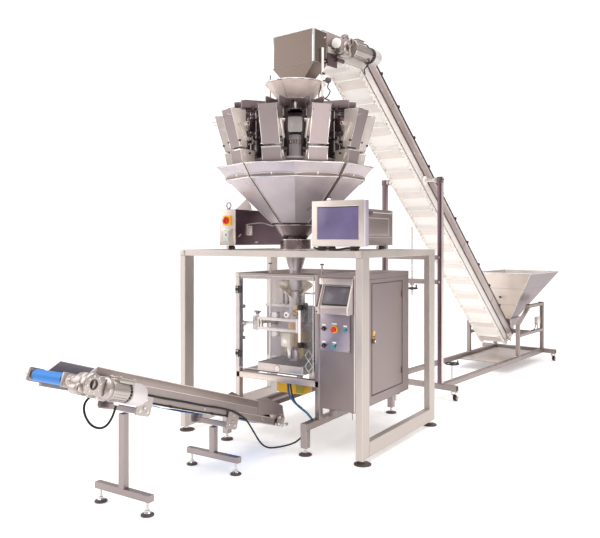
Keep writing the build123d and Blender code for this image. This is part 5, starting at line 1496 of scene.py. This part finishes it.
@built("takeoff_trim", TAKEOFF, slot="stainless")
def takeoff_trim(trim):
    # Painted shade: the far side's plates are a darker copy of the near side's stainless.
    for side, look in ((-1, "brown_steel"), (1, "stainless")):
        trim.plate([(66, 2), (178, 108), (178, 2)], (side * 166, side * 170), look, "X", 0.6)
        trim.block((side * 165, side * 171), (176, 1873), (104, 110), "light_steel", 1.5)
        trim.block((side * 169, side * 171.5), (120, 1900), (50, 54), "light_steel", 0.8)
        trim.block((side * 169, side * 170.8), (176, 1873), (55, 103), "brown_steel", 0.5)
        trim.plate([(1872, 2), (1872, 108), (1960, 62), (1990, 2)], (side * 166, side * 170), look, "X", 0.6)
        trim.rod((side * 171, 66, 2), (side * 171, 178, 109), 2.4, "light_steel", 8)
        trim.block((side * 166, side * 171), (60, 2180), (-60, -52), "light_steel", 1.5)
        trim.block((side * 166, side * 169), (60, 2180), (-6, 0), "light_steel", 1)
        trim.wire([(side * 171, 470, -44), (side * 175, 700, -48), (side * 174, 1100, -50), (side * 175, 1500, -48),
                   (side * 172, 1760, -50)], 6, "rubber", 10, 6)
        for y in (880, 1330, 1740):
            trim.block((side * 166, side * 184), (y - 10, y + 10), (-58, -40), "drive_dark", 3)
        for y in (240, 560, 1240, 1560, 1980):
            trim.bolt((side * 166, y, -28), (side, 0, 0), 6, "chrome")
    for leg_y in (-1149, -2055):
        along = (leg_y + 2618 + 110 * math.sin(TAKEOFF_RISE)) / math.cos(TAKEOFF_RISE)
        for side in (-1, 1):
            plate = []
            for cy, cz, first in ((along + 42, -24, -90), (along + 42, -112, 0), (along - 42, -112, 90),
                                  (along - 42, -24, 180)):
                for k in range(6):
                    a = math.radians(first + 18 * k)
                    plate.append((cy + 24 * math.cos(a), cz - 24 * math.sin(a)))
            trim.plate(plate, (side * 174, side * 181), "cast_silver", "X", 1.5)
            for dy, dz in ((0, -34), (-34, -108), (34, -108), (0, -84)):
                trim.bolt((side * 181, along + dy, dz), (side, 0, 0), 8, "chrome")
            trim.rod((side * 150, along, -84), (side * 181, along, -84), 15, "cast_silver", 24)
    for start, end, drop in ((560, 1500, 34), (1620, 2160, 26)):
        line = sagging((start, -38), (end, -38), drop)
        trim.plate([(y, z + 1.5) for y, z in line] + [(y, z - 1.5) for y, z in reversed(line)], (-128, 128),
                   "blue_belt", "X", 0)
    shell = [(2040, 44), (2130, 112), (2236, 108), (2292, 30), (2288, 26), (2232, 104), (2132, 108), (2044, 40)]
    for low, high, look in ((-166, -70, "cream_edge"), (-64, 46, "frame_steel"), (52, 166, "frame_steel")):
        trim.plate(shell, (low, high), look, "X", 1.2)
    for x in (-67, 49, 166, -166):
        trim.plate([(2040, 40), (2130, 110), (2150, 110), (2118, 2), (2090, 2)], (x - 3, x + 3), "cream_edge", "X", 1)
        trim.plate([(2150, 110), (2236, 106), (2292, 26), (2262, 2), (2118, 2)], (x - 3, x + 3), "web_steel", "X", 1)
    for side in (-1, 1):
        x = side * 174
        trim.block((x, x + side * 16), (2176, 2272), (-58, 28), "cast_silver", 9)
        trim.turned([(0, 0), (34, 0), (34, 8), (26, 12), (14, 12), (12, 20), (0, 20)], "cast_silver",
                    aim((x + side * 14, 2226, 0), (x + side * 36, 2226, 0)), 36)
        for y, z in ((2192, 12), (2256, 12), (2192, -42), (2256, -42), (2224, -48)):
            trim.bolt((x + side * 16, y, z), (side, 0, 0), 8, "chrome")
        trim.rod((x + side * 8, 2272, -30), (x + side * 8, 2330, -30), 7, "chrome")
        trim.bolt((x + side * 8, 2326, -30), (0, 1, 0), 10, "cast_silver")
        trim.turned([(12.4, 0), (32, 0), (34, 4), (34, 18), (24, 22), (12.4, 22)], "cream_edge",
                    aim((side * 166, 0, 0), (side * 190, 0, 0)), 36, close=True)
        trim.block((side * 142, side * 168), (-42, 62), (-42, 42), "cast_silver", 8)
    trim.turned([(12.2, 0), (26, 0), (30, 5), (30, 20), (14, 26), (12.2, 26)], "cream_cover",
                aim((-186, 0, 0), (-216, 0, 0)), 32, close=True)


# ---------------------------------------------------------------- feet and platform
@built("foot_pads", slot="rubber")
def foot_domes(feet):
    """Dark pads, collars and threads over the levelling feet, and the platform's blank end plates."""
    sites = [(x, y, 69, 45) for x in (-910, 910) for y in (-438, 928)]
    sites += [(x, y, 54, 60) for x in (-407, 407) for y in (-477, 1152)]
    sites += [(x, y, 42, 90) for x in (-216, 216) for y in (-1149, -2055)]
    for x, y, radius, top in sites:
        at = Matrix.Translation((x, y, 0))
        feet.turned([(0, 0.5), (radius, 0.5), (radius + 1, 4), (radius, 9), (radius * 0.72, 17), (radius * 0.4, 22),
                     (13, 25), (0, 25)], "foot_dark", at, 40)
        feet.turned([(0, 24), (16, 24), (16, 33), (0, 33)], "chrome", at, 6)
        threads = []
        for k in range(max(1, int((top - 34) / 4))):
            threads += [(9.5, 34 + 4 * k), (8, 36 + 4 * k)]
        feet.turned([(0, 33), *threads, (9, top), (0, top)], "chrome", at, 16)
        feet.turned([(0, top - 7), (17, top - 7), (17, top - 0.5), (0, top - 0.5)], "chrome", at, 6)
    for x in (-910, 910):
        for y in (-502, 992):
            side = -1 if y < 0 else 1
            feet.block((x - 27, x + 27), (y, y + side * 1.5), (1612, 1662), "frame_paint", 0.6)


# ---------------------------------------------------------------- floor and light
floor_mesh = bpy.data.meshes.new("floor")
floor_mesh.from_pydata([(-40, -30, 0), (40, -30, 0), (40, 40, 0), (-40, 40, 0)], [], [(0, 1, 2, 3)])
floor = bpy.data.objects.new("floor", floor_mesh)
scene.collection.objects.link(floor)
floor_look = Nodes("floor", (0.94, 0.935, 0.93), 0.5)
floor_look.tint(floor_look.noise(0.4), (0.935, 0.93, 0.925), (0.945, 0.94, 0.935))
floor_look.shader.inputs["Emission Color"].default_value = (1, 1, 1, 1)
floor_look.shader.inputs["Emission Strength"].default_value = 0.3
floor.data.materials.append(floor_look.material)


def soft_light(name, place, target, size, power, colour=(1, 1, 1)):
    """A large soft box that faces a point."""
    light = bpy.data.objects.new(name, bpy.data.lights.new(name, "AREA"))
    light.data.shape = "RECTANGLE"
    light.data.size, light.data.size_y = size
    light.data.energy = power
    light.data.color = colour
    light.location = place
    light.rotation_euler = (Vector(target) - Vector(place)).to_track_quat("-Z", "Y").to_euler()
    scene.collection.objects.link(light)


soft_light("top_box", (0.5, -1.5, 9.5), (0, 0, 0.5), (9, 11), 560)
soft_light("left_box", (-8.5, -6.5, 4.6), (0, -1, 1.4), (7, 6), 260, (1, 0.985, 0.96))
soft_light("right_box", (9.0, -3.5, 4.0), (0, 0, 1.2), (5, 6), 30, (1, 0.975, 0.965))
soft_light("low_box", (5.8, -5.2, 0.25), (0, -1.3, 2.8), (3.5, 1.5), 75, (1, 0.965, 0.94))

world = bpy.data.worlds.new("studio")
world.use_nodes = True
scene.world = world
tree = world.node_tree
background = tree.nodes["Background"]
direction = tree.nodes.new("ShaderNodeTexCoord").outputs["Generated"]
split = tree.nodes.new("ShaderNodeSeparateXYZ")
tree.links.new(direction, split.inputs["Vector"])
sky = tree.nodes.new("ShaderNodeValToRGB")
sky.color_ramp.elements[0].position = 0.0
sky.color_ramp.elements[0].color = (0.47, 0.41, 0.405, 1)
sky.color_ramp.elements[1].position = 0.75
sky.color_ramp.elements[1].color = (1.0, 0.99, 0.98, 1)
tree.links.new(split.outputs["Z"], sky.inputs["Fac"])
seen = tree.nodes.new("ShaderNodeLightPath").outputs["Is Camera Ray"]
mix = tree.nodes.new("ShaderNodeMix")
mix.data_type = "RGBA"
mix.inputs["B"].default_value = (1.15, 1.15, 1.15, 1)
tree.links.new(seen, mix.inputs["Factor"])
tree.links.new(sky.outputs["Color"], mix.inputs["A"])
tree.links.new(mix.outputs["Result"], background.inputs["Color"])
background.inputs["Strength"].default_value = 1.0
scene.view_settings.view_transform = "Standard"
